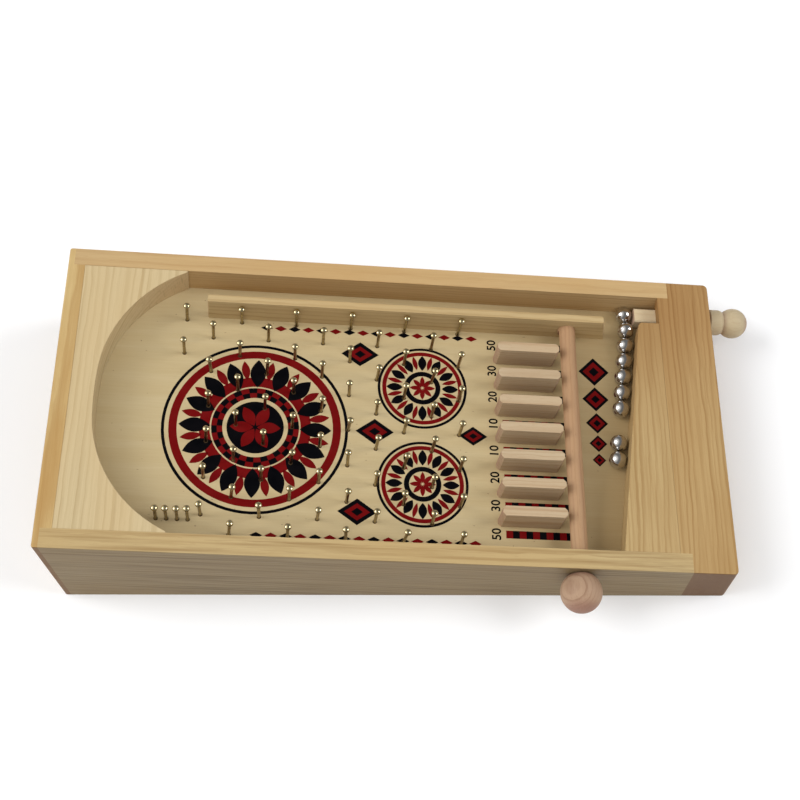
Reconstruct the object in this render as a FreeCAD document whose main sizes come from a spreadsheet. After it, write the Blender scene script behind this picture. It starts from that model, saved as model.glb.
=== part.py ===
import FreeCAD, Part
import math
import os
import re

import Sketcher

# A bagatelle board: an open wooden case whose rail tops fall from a tall head end to a low foot end.
# The playfield lies parallel to those tops. A plunger shoots a ball up the lane beside the far rail,
# the arched head block turns it onto the playfield, and brass pins scatter it into eight scoring
# channels. A half-cut bar across the channels holds the balls, or lets them roll into the trough.
#
# World frame: +X from head to foot, +Y to the lane side, +Z up, origin under the middle of the case.
# Deck frame, for all that stands on the playfield: X runs down the slope from the top outer edge of
# the head rail, Y as in the world, Z square to the playfield with zero in the plane of the rail tops.

SIZES = (
    # The case
    ("case_length", 410.0, "Outside of head rail to outside of foot rail"),
    ("case_width", 200.0, "Outside of near rail to outside of far rail"),
    ("head_height", 86.0, "Rail tops above the table at the head end"),
    ("foot_height", 40.5, "Rail tops above the table at the foot end"),
    ("side_rail", 12.0, "Thickness of the two side rails"),
    ("head_rail", 10.5, "Thickness of the head rail"),
    ("head_tongue", 3.8, "Part of the head rail that laps over the ends of the side rails"),
    ("foot_rail", 34.3, "Thickness of the foot rail, which houses the plunger"),
    ("foot_rabbet", 7.0, "Depth to which the side rails are let into the foot rail"),
    ("foot_corner", 3.0, "Radius of the upright outer corners at the foot"),
    ("head_corner", 1.5, "Radius of the upright outer corners at the head"),
    ("edge_easing", 0.8, "Radius of the outer edges along the top and bottom"),
    # The floor of the game and the floor of the case
    ("board_depth", 21.0, "Rail tops down to the playfield"),
    ("board_thickness", 6.0, "Thickness of the playfield board"),
    ("board_groove", 5.0, "Depth of the grooves that hold the board"),
    ("board_fit", 0.1, "Room above the board in its grooves"),
    ("groove_slack", 0.5, "Room beyond the edges of the board in its grooves"),
    ("base_thickness", 3.0, "Thickness of the base panel"),
    ("base_rabbet", 6.0, "Width of the rabbet that holds the base panel"),
    ("base_slack", 0.25, "Room beyond the edges of the base panel"),
    # The arched block at the head
    ("arch_crown", 14.5, "Wood between the head rail and the middle of the arch"),
    ("arch_crown_radius", 208.0, "Radius of the flat middle of the arch"),
    ("arch_crown_half", 16.0, "Middle of the arch to where its flanks begin"),
    ("arch_overrun", 7.2, "Reach of the circles of the flanks beyond the inside of the case"),
    ("arch_tip", 1.0, "Blunt ends of the arch beside the side rails"),
    # The lane beside the far rail
    ("lane_width", 16.4, "Far rail to the strip that divides off the lane"),
    ("strip_thickness", 4.9, "Thickness of the lane strip"),
    ("strip_start", 88.3, "Head end of the lane strip along the slope"),
    ("strip_end_gap", 32.2, "Foot end of the lane strip, at the playfield, to the foot rail"),
    ("strip_slant", 4.5, "Lean of the foot end of the lane strip over its height"),
    ("strip_easing", 0.8, "Radius of the edges of the ends of the lane strip"),
    # The wedge block whose slanted face leads the balls to the lane
    ("trough_far_depth", 14.3, "Depth of the trough block at its lane end"),
    ("trough_near_depth", 33.6, "Depth of the trough block at the near rail"),
    ("trough_far_gap", 19.0, "Far rail to the lane end of the trough block"),
    ("trough_corner", 3.0, "Radius of the corner between trough and lane"),
    # The dividers between the scoring channels
    ("divider_count", 7, "Number of dividers"),
    ("divider_length", 39.5, "Length of a divider"),
    ("divider_thickness", 6.4, "Thickness of a divider"),
    ("divider_height", 19.5, "Height of a divider above the playfield"),
    ("divider_chamfer", 1.8, "Chamfer of the upright edges of a divider"),
    ("divider_gate_gap", 1.9, "Dividers to the gate bar"),
    ("far_channel", 19.6, "Lane strip to the middle of the first divider"),
    ("near_channel", 23.4, "Near rail to the middle of the last divider"),
    # The gate bar
    ("gate_setback", 59.0, "Gate axis to the foot rail"),
    ("gate_height", 9.6, "Gate axis above the playfield"),
    ("gate_diameter", 11.2, "Diameter of the gate bar"),
    ("gate_clearance", 0.1, "Room round the gate bar in its holes"),
    ("gate_relief", 2.0, "Flat of the gate bar beyond its axis"),
    ("gate_journal", 2.0, "Round length left inside each end of the gate bar"),
    ("gate_socket", 3.5, "Depth of the hole in the lane strip"),
    ("gate_end_gap", 0.3, "Room at the end of the gate bar and beside its knob"),
    ("gate_countersink", 0.9, "Chamfer of the hole in the near rail, inside"),
    ("gate_knob_diameter", 25.0, "Diameter of the ball knob"),
    ("gate_knob_flat", 10.4, "Middle of the knob to its flat side"),
    ("gate_knob_bore", 12.0, "Depth to which the bar enters the knob"),
    # The plunger
    ("plunger_height", 6.2, "Plunger axis above the playfield"),
    ("plunger_margin", 7.55, "Plunger axis to the far rail"),
    ("plunger_reach", 14.7, "Plunger head out of the foot rail"),
    ("plunger_travel", 17.0, "Pull of the plunger"),
    ("head_length", 18.0, "Length of the plunger head"),
    ("head_width", 9.8, "Width of the plunger head"),
    ("head_rise", 9.4, "Height of the plunger head"),
    ("head_easing", 0.8, "Chamfer of the long edges of the plunger head"),
    ("mortise_clearance", 0.5, "Room round the plunger head in its mortise"),
    ("rod_diameter", 6.0, "Diameter of the plunger rod"),
    ("rod_clearance", 0.3, "Room round the plunger rod in the foot rail"),
    ("rod_fit", 0.03, "Room round a glued rod or bar in its bore"),
    ("rod_bore", 10.0, "Depth to which the rod enters the head and the knob"),
    ("spring_diameter", 9.0, "Outside diameter of the spring"),
    ("spring_wire", 0.9, "Wire of the spring"),
    ("spring_turns", 6, "Turns of the spring"),
    ("spring_flats", 10, "Flats in a turn of the spring"),
    ("spring_closed", 6.7, "Room for the spring when the plunger is pulled right out"),
    ("spring_gap", 0.3, "Room at each end of the spring"),
    ("knob_gap", 1.3, "Collar of the plunger knob to the foot rail, on the axis"),
    ("knob_collar", 16.7, "Diameter of the collar of the plunger knob"),
    ("knob_collar_length", 6.0, "Straight part of the collar"),
    ("knob_neck", 13.4, "Diameter of the neck of the plunger knob"),
    ("knob_ball", 19.7, "Diameter of the ball of the plunger knob"),
    ("knob_ball_centre", 16.8, "Collar face to the middle of the ball"),
    ("knob_rounding_steps", 4, "Flats along the rounding from the collar to the neck"),
    ("knob_facets", 28, "Flats round each of the two knobs"),
    # The balls
    ("ball_diameter", 11.0, "Diameter of the steel balls"),
    ("ball_gap", 0.3, "Room between a ball and what it lies against"),
    ("ball_lift", 0.15, "Room under a ball"),
    ("ball_pitch", 11.6, "Ball to ball along the trough wall"),
    ("row_gap", 0.36, "Ball in the lane to the first ball of the row, across the board"),
    ("row_count", 6, "Balls in the row beside the lane"),
    ("pair_count", 2, "Balls in the loose pair"),
    ("pair_position", 82.2, "First ball of the row to the first of the pair, along the wall"),
    ("ball_facets", 16, "Flats round each ball"),
    # The pins
    ("pin_shank", 1.8, "Diameter of a pin"),
    ("pin_head", 4.2, "Diameter of the head of a pin"),
    ("pin_rim", 0.7, "Upright part of the head of a pin"),
    ("pin_crown", 0.9, "Domed part of the head of a pin"),
    ("pin_standing", 19.0, "Height of a pin above the playfield"),
    ("pin_driven", 5.0, "Depth to which a pin is driven into the board"),
    ("pin_facets", 8, "Flats round each pin"),
    ("pin_start", 75.1, "First column of pins along the slope"),
    ("pin_divider_margin", 23.0, "Last column of pins to the dividers"),
    ("pin_columns", 11, "Columns of pins"),
    ("pin_rows", 7, "Pins in a full column"),
    ("pin_far_margin", 2.4, "First pin of a column to the lane strip"),
    ("pin_near_margin", 8.1, "Last pin of a column to the near rail"),
    ("first_column_pins", 2, "Pins in the first column, under the arch"),
    ("fence_pins", 4, "Pins in the fence at the near end of the arch"),
    ("fence_start", 66.4, "First pin of the fence along the slope"),
    ("fence_pitch", 6.3, "Pin to pin in the fence"),
    ("fence_margin", 16.6, "Fence to the near rail"),
)
NAMES = "|".join(name for name, size, note in SIZES)

# Rise over run of the rail tops, and lengths along the slope over lengths along the table
FALL = "((head_height - foot_height) / case_length)"
STRETCH = f"sqrt(1 + {FALL}^2)"
SLOPE = f"atan({FALL})"

# World frame
HEAD_OUTER = "(-case_length / 2)"
HEAD_INNER = f"({HEAD_OUTER} + head_rail)"
FOOT_OUTER = "(case_length / 2)"
FOOT_INNER = f"({FOOT_OUTER} - foot_rail)"
SIDE_INNER = "(case_width / 2 - side_rail)"
RAIL_START = f"({HEAD_OUTER} + head_tongue)"
RAIL_END = f"({FOOT_INNER} + foot_rabbet)"

# Deck frame: the inner faces of the end rails lean there, so each is given where it meets the tops
HEAD_FACE = f"(head_rail * {STRETCH})"
FOOT_FACE = f"((case_length - foot_rail) * {STRETCH})"
OUTER_FACE = f"(case_length * {STRETCH})"
STRIP_FAR = f"({SIDE_INNER} - lane_width)"
STRIP_NEAR = f"({STRIP_FAR} - strip_thickness)"
STRIP_END = f"({FOOT_FACE} - strip_end_gap)"
GATE_AT = f"({FOOT_FACE} - gate_setback)"
GATE_LEVEL = "(gate_height - board_depth)"
GATE_HOLE = "(gate_diameter / 2 + gate_clearance)"
DIVIDER_END = f"({GATE_AT} - gate_diameter / 2 - divider_gate_gap)"
DIVIDER_START = f"({DIVIDER_END} - divider_length)"
PLUNGER_LINE = f"({SIDE_INNER} - plunger_margin)"
PLUNGER_LEVEL = "(plunger_height - board_depth)"
PLUNGER_FACE = f"({FOOT_FACE} - {PLUNGER_LEVEL} * {FALL})"
HEAD_FRONT = f"({PLUNGER_FACE} - plunger_reach)"
HEAD_REAR = f"({HEAD_FRONT} + head_length)"
MORTISE_END = f"({HEAD_REAR} + plunger_travel + spring_closed)"
KNOB_FACE = f"({OUTER_FACE} - {PLUNGER_LEVEL} * {FALL} + knob_gap)"
BALL_LEVEL = "(ball_diameter / 2 + ball_lift - board_depth)"
TROUGH_RUN = f"(2 * {SIDE_INNER} - trough_far_gap)"
TROUGH_LEAN = f"((trough_near_depth - trough_far_depth) * {STRETCH} / {TROUGH_RUN})"

document = FreeCAD.newDocument("BagatelleBoard")
sheet = document.addObject("Spreadsheet::Sheet", "Sizes")
for row, (name, size, note) in enumerate(SIZES, start=1):
    sheet.set(f"A{row}", name)
    sheet.set(f"B{row}", str(size))
    sheet.set(f"C{row}", note)
    sheet.setAlias(f"B{row}", name)
document.recompute()


def bind(expression):
    """An expression over the names in SIZES, as the spreadsheet knows them."""
    return re.sub(rf"\b({NAMES})\b", r"Sizes.\1", str(expression))


def value(expression):
    """The number that an expression gives now."""
    result = sheet.evalExpression(bind(expression))
    return float(getattr(result, "Value", result))


def top_at(x, depth="0"):
    """Height above the table, at a world x, of the plane at a depth below the rail tops."""
    return f"(head_height - (({x}) - {HEAD_OUTER}) * {FALL} - ({depth}) * {STRETCH})"


def world_x(along, level):
    return f"({HEAD_OUTER} + (({along}) + ({level}) * {FALL}) / {STRETCH})"


def world_z(along, level):
    return f"(head_height + (({level}) - ({along}) * {FALL}) / {STRETCH})"


# ---- Building blocks -------------------------------------------------------------------------

pieces = []


def new_body(name):
    body = document.addObject("PartDesign::Body", name)
    body.Label = name
    pieces.append(body)
    return body


def on_deck(piece, along="0", across="0", level="0"):
    """Sets a piece in the deck frame, at a place along the slope, across it and above its plane."""
    piece.Placement = FreeCAD.Placement(
        FreeCAD.Vector(), FreeCAD.Rotation(FreeCAD.Vector(0, 1, 0), 1)
    )
    piece.setExpression("Placement.Base.x", bind(world_x(along, level)))
    piece.setExpression("Placement.Base.y", bind(across))
    piece.setExpression("Placement.Base.z", bind(world_z(along, level)))
    piece.setExpression("Placement.Rotation.Angle", bind(SLOPE))


def new_sketch(body, name, role, offset="0"):
    """A sketch on one of the body's own origin planes, moved along the normal of that plane."""
    sketch = body.newObject("Sketcher::SketchObject", name)
    plane = next(f for f in body.Origin.OriginFeatures if f.Role == role)
    sketch.AttachmentSupport = (plane, [""])
    sketch.MapMode = "FlatFace"
    sketch.setExpression("AttachmentOffset.Base.z", bind(offset))
    return sketch


def constrain(sketch, constraint, expression):
    index = sketch.addConstraint(constraint)
    sketch.setExpression(f"Constraints[{index}]", bind(expression))


def arc_middle(start, end, radius, turn):
    """The middle of the shorter arc between two points; turn is 1 anticlockwise, -1 clockwise."""
    chord = end - start
    height = radius - math.sqrt(radius**2 - (chord.Length / 2) ** 2)
    outward = FreeCAD.Vector(chord.y, -chord.x, 0).normalize()
    return (start + end) / 2 + outward * height * turn


def contour(sketch, corners):
    """A closed outline. A corner is x and y, with a radius and a turn if an arc leaves it."""
    points = [FreeCAD.Vector(value(c[0]), value(c[1]), 0) for c in corners]
    ends = []
    for index, corner in enumerate(corners):
        start, end = points[index], points[(index + 1) % len(corners)]
        if len(corner) == 2:
            edge = sketch.addGeometry(Part.LineSegment(start, end), False)
            ends.append((edge, 1, 2))
        else:
            middle = arc_middle(start, end, value(corner[2]), corner[3])
            way = (start, middle, end) if corner[3] > 0 else (end, middle, start)
            edge = sketch.addGeometry(Part.ArcOfCircle(*way), False)
            ends.append((edge, 1, 2) if corner[3] > 0 else (edge, 2, 1))
    for index, (edge, first, last) in enumerate(ends):
        following, next_first, _ = ends[(index + 1) % len(ends)]
        sketch.addConstraint(Sketcher.Constraint("Coincident", edge, last, following, next_first))
    for (edge, first, last), point, corner in zip(ends, points, corners):
        constrain(sketch, Sketcher.Constraint("DistanceX", -1, 1, edge, first, point.x), corner[0])
        constrain(sketch, Sketcher.Constraint("DistanceY", -1, 1, edge, first, point.y), corner[1])
        if len(corner) > 2:
            constrain(sketch, Sketcher.Constraint("Radius", edge, value(corner[2])), corner[2])


def circle(sketch, x, y, radius):
    centre = FreeCAD.Vector(value(x), value(y), 0)
    upward = FreeCAD.Vector(0, 0, 1)
    edge = sketch.addGeometry(Part.Circle(centre, upward, value(radius)), False)
    constrain(sketch, Sketcher.Constraint("DistanceX", -1, 1, edge, 3, centre.x), x)
    constrain(sketch, Sketcher.Constraint("DistanceY", -1, 1, edge, 3, centre.y), y)
    constrain(sketch, Sketcher.Constraint("Radius", edge, value(radius)), radius)


def pad(body, sketch, length, both_ways=False):
    feature = body.newObject("PartDesign::Pad", "Pad")
    feature.Profile = sketch
    feature.Midplane = both_ways
    feature.setExpression("Length", bind(length))
    document.recompute()


def pocket(body, sketch, length=None, both_ways=False, along_normal=False):
    """Cuts a sketch out of a body, right through it where no length is given."""
    before = body.Shape.Volume
    feature = body.newObject("PartDesign::Pocket", "Pocket")
    feature.Profile = sketch
    feature.Midplane = both_ways
    feature.Reversed = along_normal
    if length is None:
        feature.Type = "ThroughAll"
    else:
        feature.setExpression("Length", bind(length))
    document.recompute()
    if body.Shape.Volume >= before:
        raise RuntimeError(f"{body.Label}: {sketch.Label} cuts nothing")


def dress(body, kind, size, expression, wanted):
    """Rounds or chamfers the edges that a test picks out."""
    base = body.Tip
    edges = [f"Edge{i}" for i, edge in enumerate(base.Shape.Edges, start=1) if wanted(edge)]
    if not edges:
        raise RuntimeError(f"{body.Label}: no edge for its {kind}")
    feature = body.newObject(f"PartDesign::{kind}", kind)
    feature.Base = (base, edges)
    feature.setExpression(size, bind(expression))
    document.recompute()


def round_over(body, radius, wanted):
    dress(body, "Fillet", "Radius", radius, wanted)


def bevel(body, size, wanted):
    dress(body, "Chamfer", "Size", size, wanted)


def near(first, second):
    return abs(first - second) < 1e-4


def upright(edge):
    """Whether an edge stands along Z."""
    ends = edge.Vertexes
    return len(ends) == 2 and math.hypot(ends[0].X - ends[1].X, ends[0].Y - ends[1].Y) < 1e-4


def middle_of(edge):
    first, last = edge.ParameterRange
    return edge.valueAt((first + last) / 2)


def arc_profile(centre, radius, first, last, steps):
    """Radius and height along an arc whose middle is on the axis; zero degrees points down it."""
    angles = [math.radians(first + (last - first) * step / steps) for step in range(steps + 1)]
    points = [(radius * math.sin(angle), centre - radius * math.cos(angle)) for angle in angles]
    return [(0 if abs(across) < 1e-9 else across, height) for across, height in points]


def corner_at(radius, angle, height, axis):
    """A point at an angle round an axis, which is X, Y or Z, and a height along it."""
    place = (radius * math.cos(angle), radius * math.sin(angle), height)
    shift = 3 - "ZXY".index(axis)
    return FreeCAD.Vector(*place[shift:], *place[:shift])


def facet_solid(profile, facets, axis="Z"):
    """A turned solid with flats: rings of equal corners at each (radius, height) of a profile."""
    step = 2 * math.pi / facets
    rings = [
        [corner_at(radius, step * corner, height, axis) for corner in range(facets)]
        for radius, height in profile
    ]
    solid_ends = [
        ring for ring, (radius, _) in ((rings[0], profile[0]), (rings[-1], profile[-1])) if radius
    ]
    loops = [ring + ring[:1] for ring in solid_ends]
    for lower, upper in zip(rings, rings[1:]):
        for corner in range(facets):
            other = (corner + 1) % facets
            loop = [lower[corner], lower[other], upper[other], upper[corner], lower[corner]]
            loops.append([p for p, before in zip(loop, [None, *loop]) if p != before])
    return closed(loops)


def closed(loops):
    """The solid inside a set of flat faces, each given by a closed loop of corners."""
    shell = Part.Shell([Part.Face(Part.makePolygon(loop)) for loop in loops])
    shell.sewShape()
    solid = Part.Solid(shell)
    if solid.Volume < 0:
        solid.reverse()
    return solid


def deck_feature(name, shape, along="0", across="0", level="0"):
    """A ready-made shape as a piece in the deck frame."""
    feature = document.addObject("Part::Feature", name)
    feature.Label = name
    feature.Shape = shape
    on_deck(feature, along, across, level)
    pieces.append(feature)


# ---- The case --------------------------------------------------------------------------------


def plate_outline(start, end, upper, lower):
    """The upright section of what lies parallel to the rail tops, between two depths below them."""
    return [
        (start, top_at(start, lower)),
        (end, top_at(end, lower)),
        (end, top_at(end, upper)),
        (start, top_at(start, upper)),
    ]


def rail_outline(start, end):
    return [(start, "0"), (end, "0"), (end, top_at(end)), (start, top_at(start))]


def rectangle(left, right, low, high):
    return [(left, low), (right, low), (right, high), (left, high)]


def groove_outline(start, end):
    return plate_outline(start, end, "board_depth - board_fit", "board_depth + board_thickness")


def side_rail(name, side):
    """A side rail, on the near side for -1 and the far side for 1."""
    body = new_body(name)
    inner = f"{-side} * {SIDE_INNER}"
    outer_plane = inner if side < 0 else "-case_width / 2"
    blank = new_sketch(body, "Blank", "XZ_Plane", outer_plane)
    contour(blank, rail_outline(RAIL_START, RAIL_END))
    pad(body, blank, "side_rail")
    groove = new_sketch(body, "BoardGroove", "XZ_Plane", inner)
    contour(groove, groove_outline(RAIL_START, RAIL_END))
    pocket(body, groove, "board_groove", along_normal=side < 0)
    rabbet = new_sketch(body, "BaseRabbet", "XZ_Plane", inner)
    contour(rabbet, rectangle(RAIL_START, RAIL_END, "0", "base_thickness"))
    pocket(body, rabbet, "base_rabbet", along_normal=side < 0)
    outside = side * value("case_width / 2")
    round_over(
        body,
        "edge_easing",
        lambda edge: not upright(edge) and all(near(v.Y, outside) for v in edge.Vertexes),
    )
    return body


def near_side_rail():
    body = side_rail("near_side_rail", -1)
    hole = new_sketch(body, "GateHole", "XZ_Plane", SIDE_INNER)
    circle(hole, world_x(GATE_AT, GATE_LEVEL), world_z(GATE_AT, GATE_LEVEL), GATE_HOLE)
    pocket(body, hole, along_normal=True)
    inside = -value(SIDE_INNER)
    bevel(
        body,
        "gate_countersink",
        lambda edge: len(edge.Vertexes) == 1 and near(edge.Vertexes[0].Y, inside),
    )


def cut_corner_rabbets(body, start, end):
    """Lets the side rails into an end rail at both of its ends."""
    for name, side in (("NearRabbet", -1), ("FarRabbet", 1)):
        rabbet = new_sketch(body, name, "XY_Plane")
        ends = (f"{side} * {SIDE_INNER}", f"{side} * case_width / 2")
        contour(rabbet, rectangle(start, end, *ends))
        pocket(body, rabbet, both_ways=True)


def cut_panel_seats(body, inner_face, outward):
    """Grooves an end rail for the board and rabbets it for the base panel."""
    groove_bottom = f"({inner_face} + {outward} * board_groove)"
    groove = new_sketch(body, "BoardGroove", "XZ_Plane")
    contour(groove, groove_outline(inner_face, groove_bottom))
    pocket(body, groove, both_ways=True)
    rabbet_side = f"({inner_face} + {outward} * base_rabbet)"
    rabbet = new_sketch(body, "BaseRabbet", "XZ_Plane")
    contour(rabbet, rectangle(inner_face, rabbet_side, "0", "base_thickness"))
    pocket(body, rabbet, both_ways=True)


def ease_end_rail(body, outer_face, inner_lines, corner):
    """Rounds the upright outer corners of an end rail, then its outer edges above and below."""
    outer_x = value(outer_face)
    outer_y = value("case_width / 2")
    round_over(
        body,
        corner,
        lambda edge: upright(edge)
        and near(middle_of(edge).x, outer_x)
        and near(abs(middle_of(edge).y), outer_y),
    )
    inner_x = [value(line) for line in inner_lines]
    inner_y = value(SIDE_INNER)

    def outer_rim(edge):
        middle = middle_of(edge)
        level = near(middle.z, 0) or near(middle.z, value(top_at(middle.x)))
        inside = abs(middle.y) < inner_y + 1e-4 and not near(middle.x, outer_x)
        return level and not inside and not any(near(middle.x, x) for x in inner_x)

    round_over(body, "edge_easing", outer_rim)


def head_end_rail():
    body = new_body("head_end_rail")
    blank = new_sketch(body, "Blank", "XZ_Plane")
    contour(blank, rail_outline(HEAD_OUTER, HEAD_INNER))
    pad(body, blank, "case_width", both_ways=True)
    cut_corner_rabbets(body, RAIL_START, HEAD_INNER)
    cut_panel_seats(body, HEAD_INNER, -1)
    ease_end_rail(body, HEAD_OUTER, (RAIL_START, HEAD_INNER), "head_corner")


def foot_end_rail():
    body = new_body("foot_end_rail")
    blank = new_sketch(body, "Blank", "XZ_Plane")
    contour(blank, rail_outline(FOOT_INNER, FOOT_OUTER))
    pad(body, blank, "case_width", both_ways=True)
    cut_corner_rabbets(body, FOOT_INNER, RAIL_END)
    cut_panel_seats(body, FOOT_INNER, 1)
    ease_end_rail(body, FOOT_OUTER, (FOOT_INNER, RAIL_END), "foot_corner")
    cut_plunger_mortise(body)
    drill_rod_hole(body)


def cut_plunger_mortise(body):
    """The square mortise for the plunger head and its spring, parallel to the playfield."""
    half_rise = "(head_rise / 2 + mortise_clearance)"
    opening = f"({PLUNGER_FACE} - {half_rise})"
    corners = [
        (opening, f"({PLUNGER_LEVEL} - {half_rise})"),
        (MORTISE_END, f"({PLUNGER_LEVEL} - {half_rise})"),
        (MORTISE_END, f"({PLUNGER_LEVEL} + {half_rise})"),
        (opening, f"({PLUNGER_LEVEL} + {half_rise})"),
    ]
    mortise = new_sketch(body, "Mortise", "XZ_Plane", f"-{PLUNGER_LINE}")
    contour(mortise, [(world_x(*corner), world_z(*corner)) for corner in corners])
    pocket(body, mortise, "head_width + 2 * mortise_clearance", both_ways=True)


def drill_rod_hole(body):
    before = body.Shape.Volume
    hole = body.newObject("PartDesign::SubtractiveCylinder", "RodHole")
    hole.Placement = FreeCAD.Placement(
        FreeCAD.Vector(), FreeCAD.Rotation(FreeCAD.Vector(0, 1, 0), 90)
    )
    hole.setExpression("Radius", bind("rod_diameter / 2 + rod_clearance"))
    hole.setExpression("Height", bind("foot_rail"))
    hole.setExpression("Placement.Base.x", bind(world_x(MORTISE_END, PLUNGER_LEVEL)))
    hole.setExpression("Placement.Base.y", bind(PLUNGER_LINE))
    hole.setExpression("Placement.Base.z", bind(world_z(MORTISE_END, PLUNGER_LEVEL)))
    hole.setExpression("Placement.Rotation.Angle", f"90 deg + {bind(SLOPE)}")
    document.recompute()
    if body.Shape.Volume >= before:
        raise RuntimeError("the rod hole cuts nothing")


def playfield_board():
    body = new_body("playfield_board")
    start = f"({HEAD_INNER} - board_groove + groove_slack)"
    end = f"({FOOT_INNER} + board_groove - groove_slack)"
    section = new_sketch(body, "Section", "XZ_Plane")
    contour(section, plate_outline(start, end, "board_depth", "board_depth + board_thickness"))
    pad(body, section, f"2 * ({SIDE_INNER} + board_groove - groove_slack)", both_ways=True)


def base_panel():
    panel = document.addObject("Part::Box", "base_panel")
    panel.Label = "base_panel"
    reach = "(base_rabbet - base_slack)"
    panel.setExpression("Length", bind(f"{FOOT_INNER} - {HEAD_INNER} + 2 * {reach}"))
    panel.setExpression("Width", bind(f"2 * ({SIDE_INNER} + {reach})"))
    panel.setExpression("Height", bind("base_thickness"))
    panel.setExpression("Placement.Base.x", bind(f"{HEAD_INNER} - {reach}"))
    panel.setExpression("Placement.Base.y", bind(f"-{SIDE_INNER} - {reach}"))
    pieces.append(panel)


# ---- On the playfield ------------------------------------------------------------------------


def head_arch_block():
    """The block at the head. Its arch turns the ball: nearly flat in the middle, round at the flanks."""
    body = new_body("head_arch_block")
    on_deck(body)
    sine = "(arch_crown_half / arch_crown_radius)"
    cosine = f"sqrt(1 - {sine}^2)"
    flank = f"(({SIDE_INNER} + arch_overrun - arch_crown_half) / (1 - {sine}))"
    crown_centre = f"({HEAD_FACE} + arch_crown + arch_crown_radius)"
    flank_centre = f"({crown_centre} - (arch_crown_radius - {flank}) * {cosine})"
    flank_across = f"((arch_crown_radius - {flank}) * {sine})"
    join_along = f"({crown_centre} - arch_crown_radius * {cosine})"
    tip_across = f"({SIDE_INNER} - arch_tip)"
    tip_along = f"({flank_centre} - sqrt({flank}^2 - ({tip_across} - {flank_across})^2))"
    section = new_sketch(body, "Section", "XZ_Plane")
    corners = [
        (f"{HEAD_FACE} + board_depth * {FALL}", "-board_depth"),
        (tip_along, "-board_depth"),
        (tip_along, "0"),
        (HEAD_FACE, "0"),
    ]
    contour(section, corners)
    pad(body, section, f"2 * {SIDE_INNER}", both_ways=True)
    arch = new_sketch(body, "Arch", "XY_Plane")
    corners = [
        (tip_along, f"-{tip_across}", flank, -1),
        (join_along, "-arch_crown_half", "arch_crown_radius", -1),
        (join_along, "arch_crown_half", flank, -1),
        (tip_along, tip_across),
        (f"{tip_along} + arch_tip", tip_across),
        (f"{tip_along} + arch_tip", f"-{tip_across}"),
    ]
    contour(arch, corners)
    pocket(body, arch, both_ways=True)


def trough_block():
    """The wedge at the foot. Its slanted face, upright like the rails, leads the balls to the lane."""
    body = new_body("trough_block")
    near_wall = f"({FOOT_INNER} - trough_near_depth)"
    far_wall = f"({FOOT_INNER} - trough_far_depth)"
    far_end = f"({SIDE_INNER} - trough_far_gap)"
    section = new_sketch(body, "Section", "XZ_Plane", f"-{far_end}")
    contour(section, plate_outline(near_wall, FOOT_INNER, "0", "board_depth"))
    pad(body, section, TROUGH_RUN)
    wall = new_sketch(body, "Wall", "XY_Plane")
    corners = [
        (near_wall, f"-{SIDE_INNER}"),
        (far_wall, far_end),
        (f"{near_wall} - trough_corner", far_end),
        (f"{near_wall} - trough_corner", f"-{SIDE_INNER}"),
    ]
    contour(wall, corners)
    pocket(body, wall, both_ways=True)
    corner = (value(far_wall), value(far_end))
    round_over(
        body,
        "trough_corner",
        lambda edge: upright(edge)
        and near(middle_of(edge).x, corner[0])
        and near(middle_of(edge).y, corner[1]),
    )


def lane_strip():
    """The strip beside the lane. Its foot end leans back towards the head."""
    body = new_body("lane_strip")
    on_deck(body)
    side = new_sketch(body, "Side", "XZ_Plane", f"-{STRIP_FAR}")
    end_top = f"({STRIP_END} - strip_slant)"
    corners = [
        ("strip_start", "-board_depth"),
        (STRIP_END, "-board_depth"),
        (end_top, "0"),
        ("strip_start", "0"),
    ]
    contour(side, corners)
    pad(body, side, "strip_thickness")
    height = value("board_depth")
    round_over(body, "strip_easing", lambda edge: near(edge.BoundBox.ZLength, height))
    socket = new_sketch(body, "GateSocket", "XZ_Plane", f"-{STRIP_NEAR}")
    circle(socket, GATE_AT, GATE_LEVEL, GATE_HOLE)
    pocket(body, socket, "gate_socket")


def score_dividers():
    count = int(value("divider_count"))
    first = f"({STRIP_NEAR} - far_channel)"
    last = f"(near_channel - {SIDE_INNER})"
    for index in range(count):
        body = new_body(f"score_divider_{index + 1}")
        middle = f"({first} + ({last} - {first}) * {index} / (divider_count - 1))"
        on_deck(body, DIVIDER_START, middle, "-board_depth")
        plan = new_sketch(body, "Plan", "XY_Plane")
        half = "(divider_thickness / 2)"
        contour(plan, rectangle("0", "divider_length", f"-{half}", half))
        pad(body, plan, "divider_height")
        bevel(body, "divider_chamfer", upright)


# ---- The pins --------------------------------------------------------------------------------


def pin_shape():
    """One round-headed pin, with its foot at the bottom of the board."""
    shank = value("pin_shank / 2")
    head = value("pin_head / 2")
    under_head = value("pin_driven + pin_standing - pin_rim - pin_crown")
    rim = under_head + value("pin_rim")
    profile = (
        (shank, 0),
        (shank, under_head),
        (head, under_head),
        (head, rim),
        (0, rim + value("pin_crown")),
    )
    return facet_solid(profile, int(value("pin_facets")))


def pin_group(name, along, across):
    """Pins at the same place along the slope, or across it, as one piece of separate solids."""
    pin = pin_shape()
    places = [FreeCAD.Vector(value(x), value(y), 0) for x, y in zip(along, across)]
    group = Part.Compound([pin.translated(place) for place in places])
    deck_feature(name, group, level="-board_depth - pin_driven")


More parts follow.
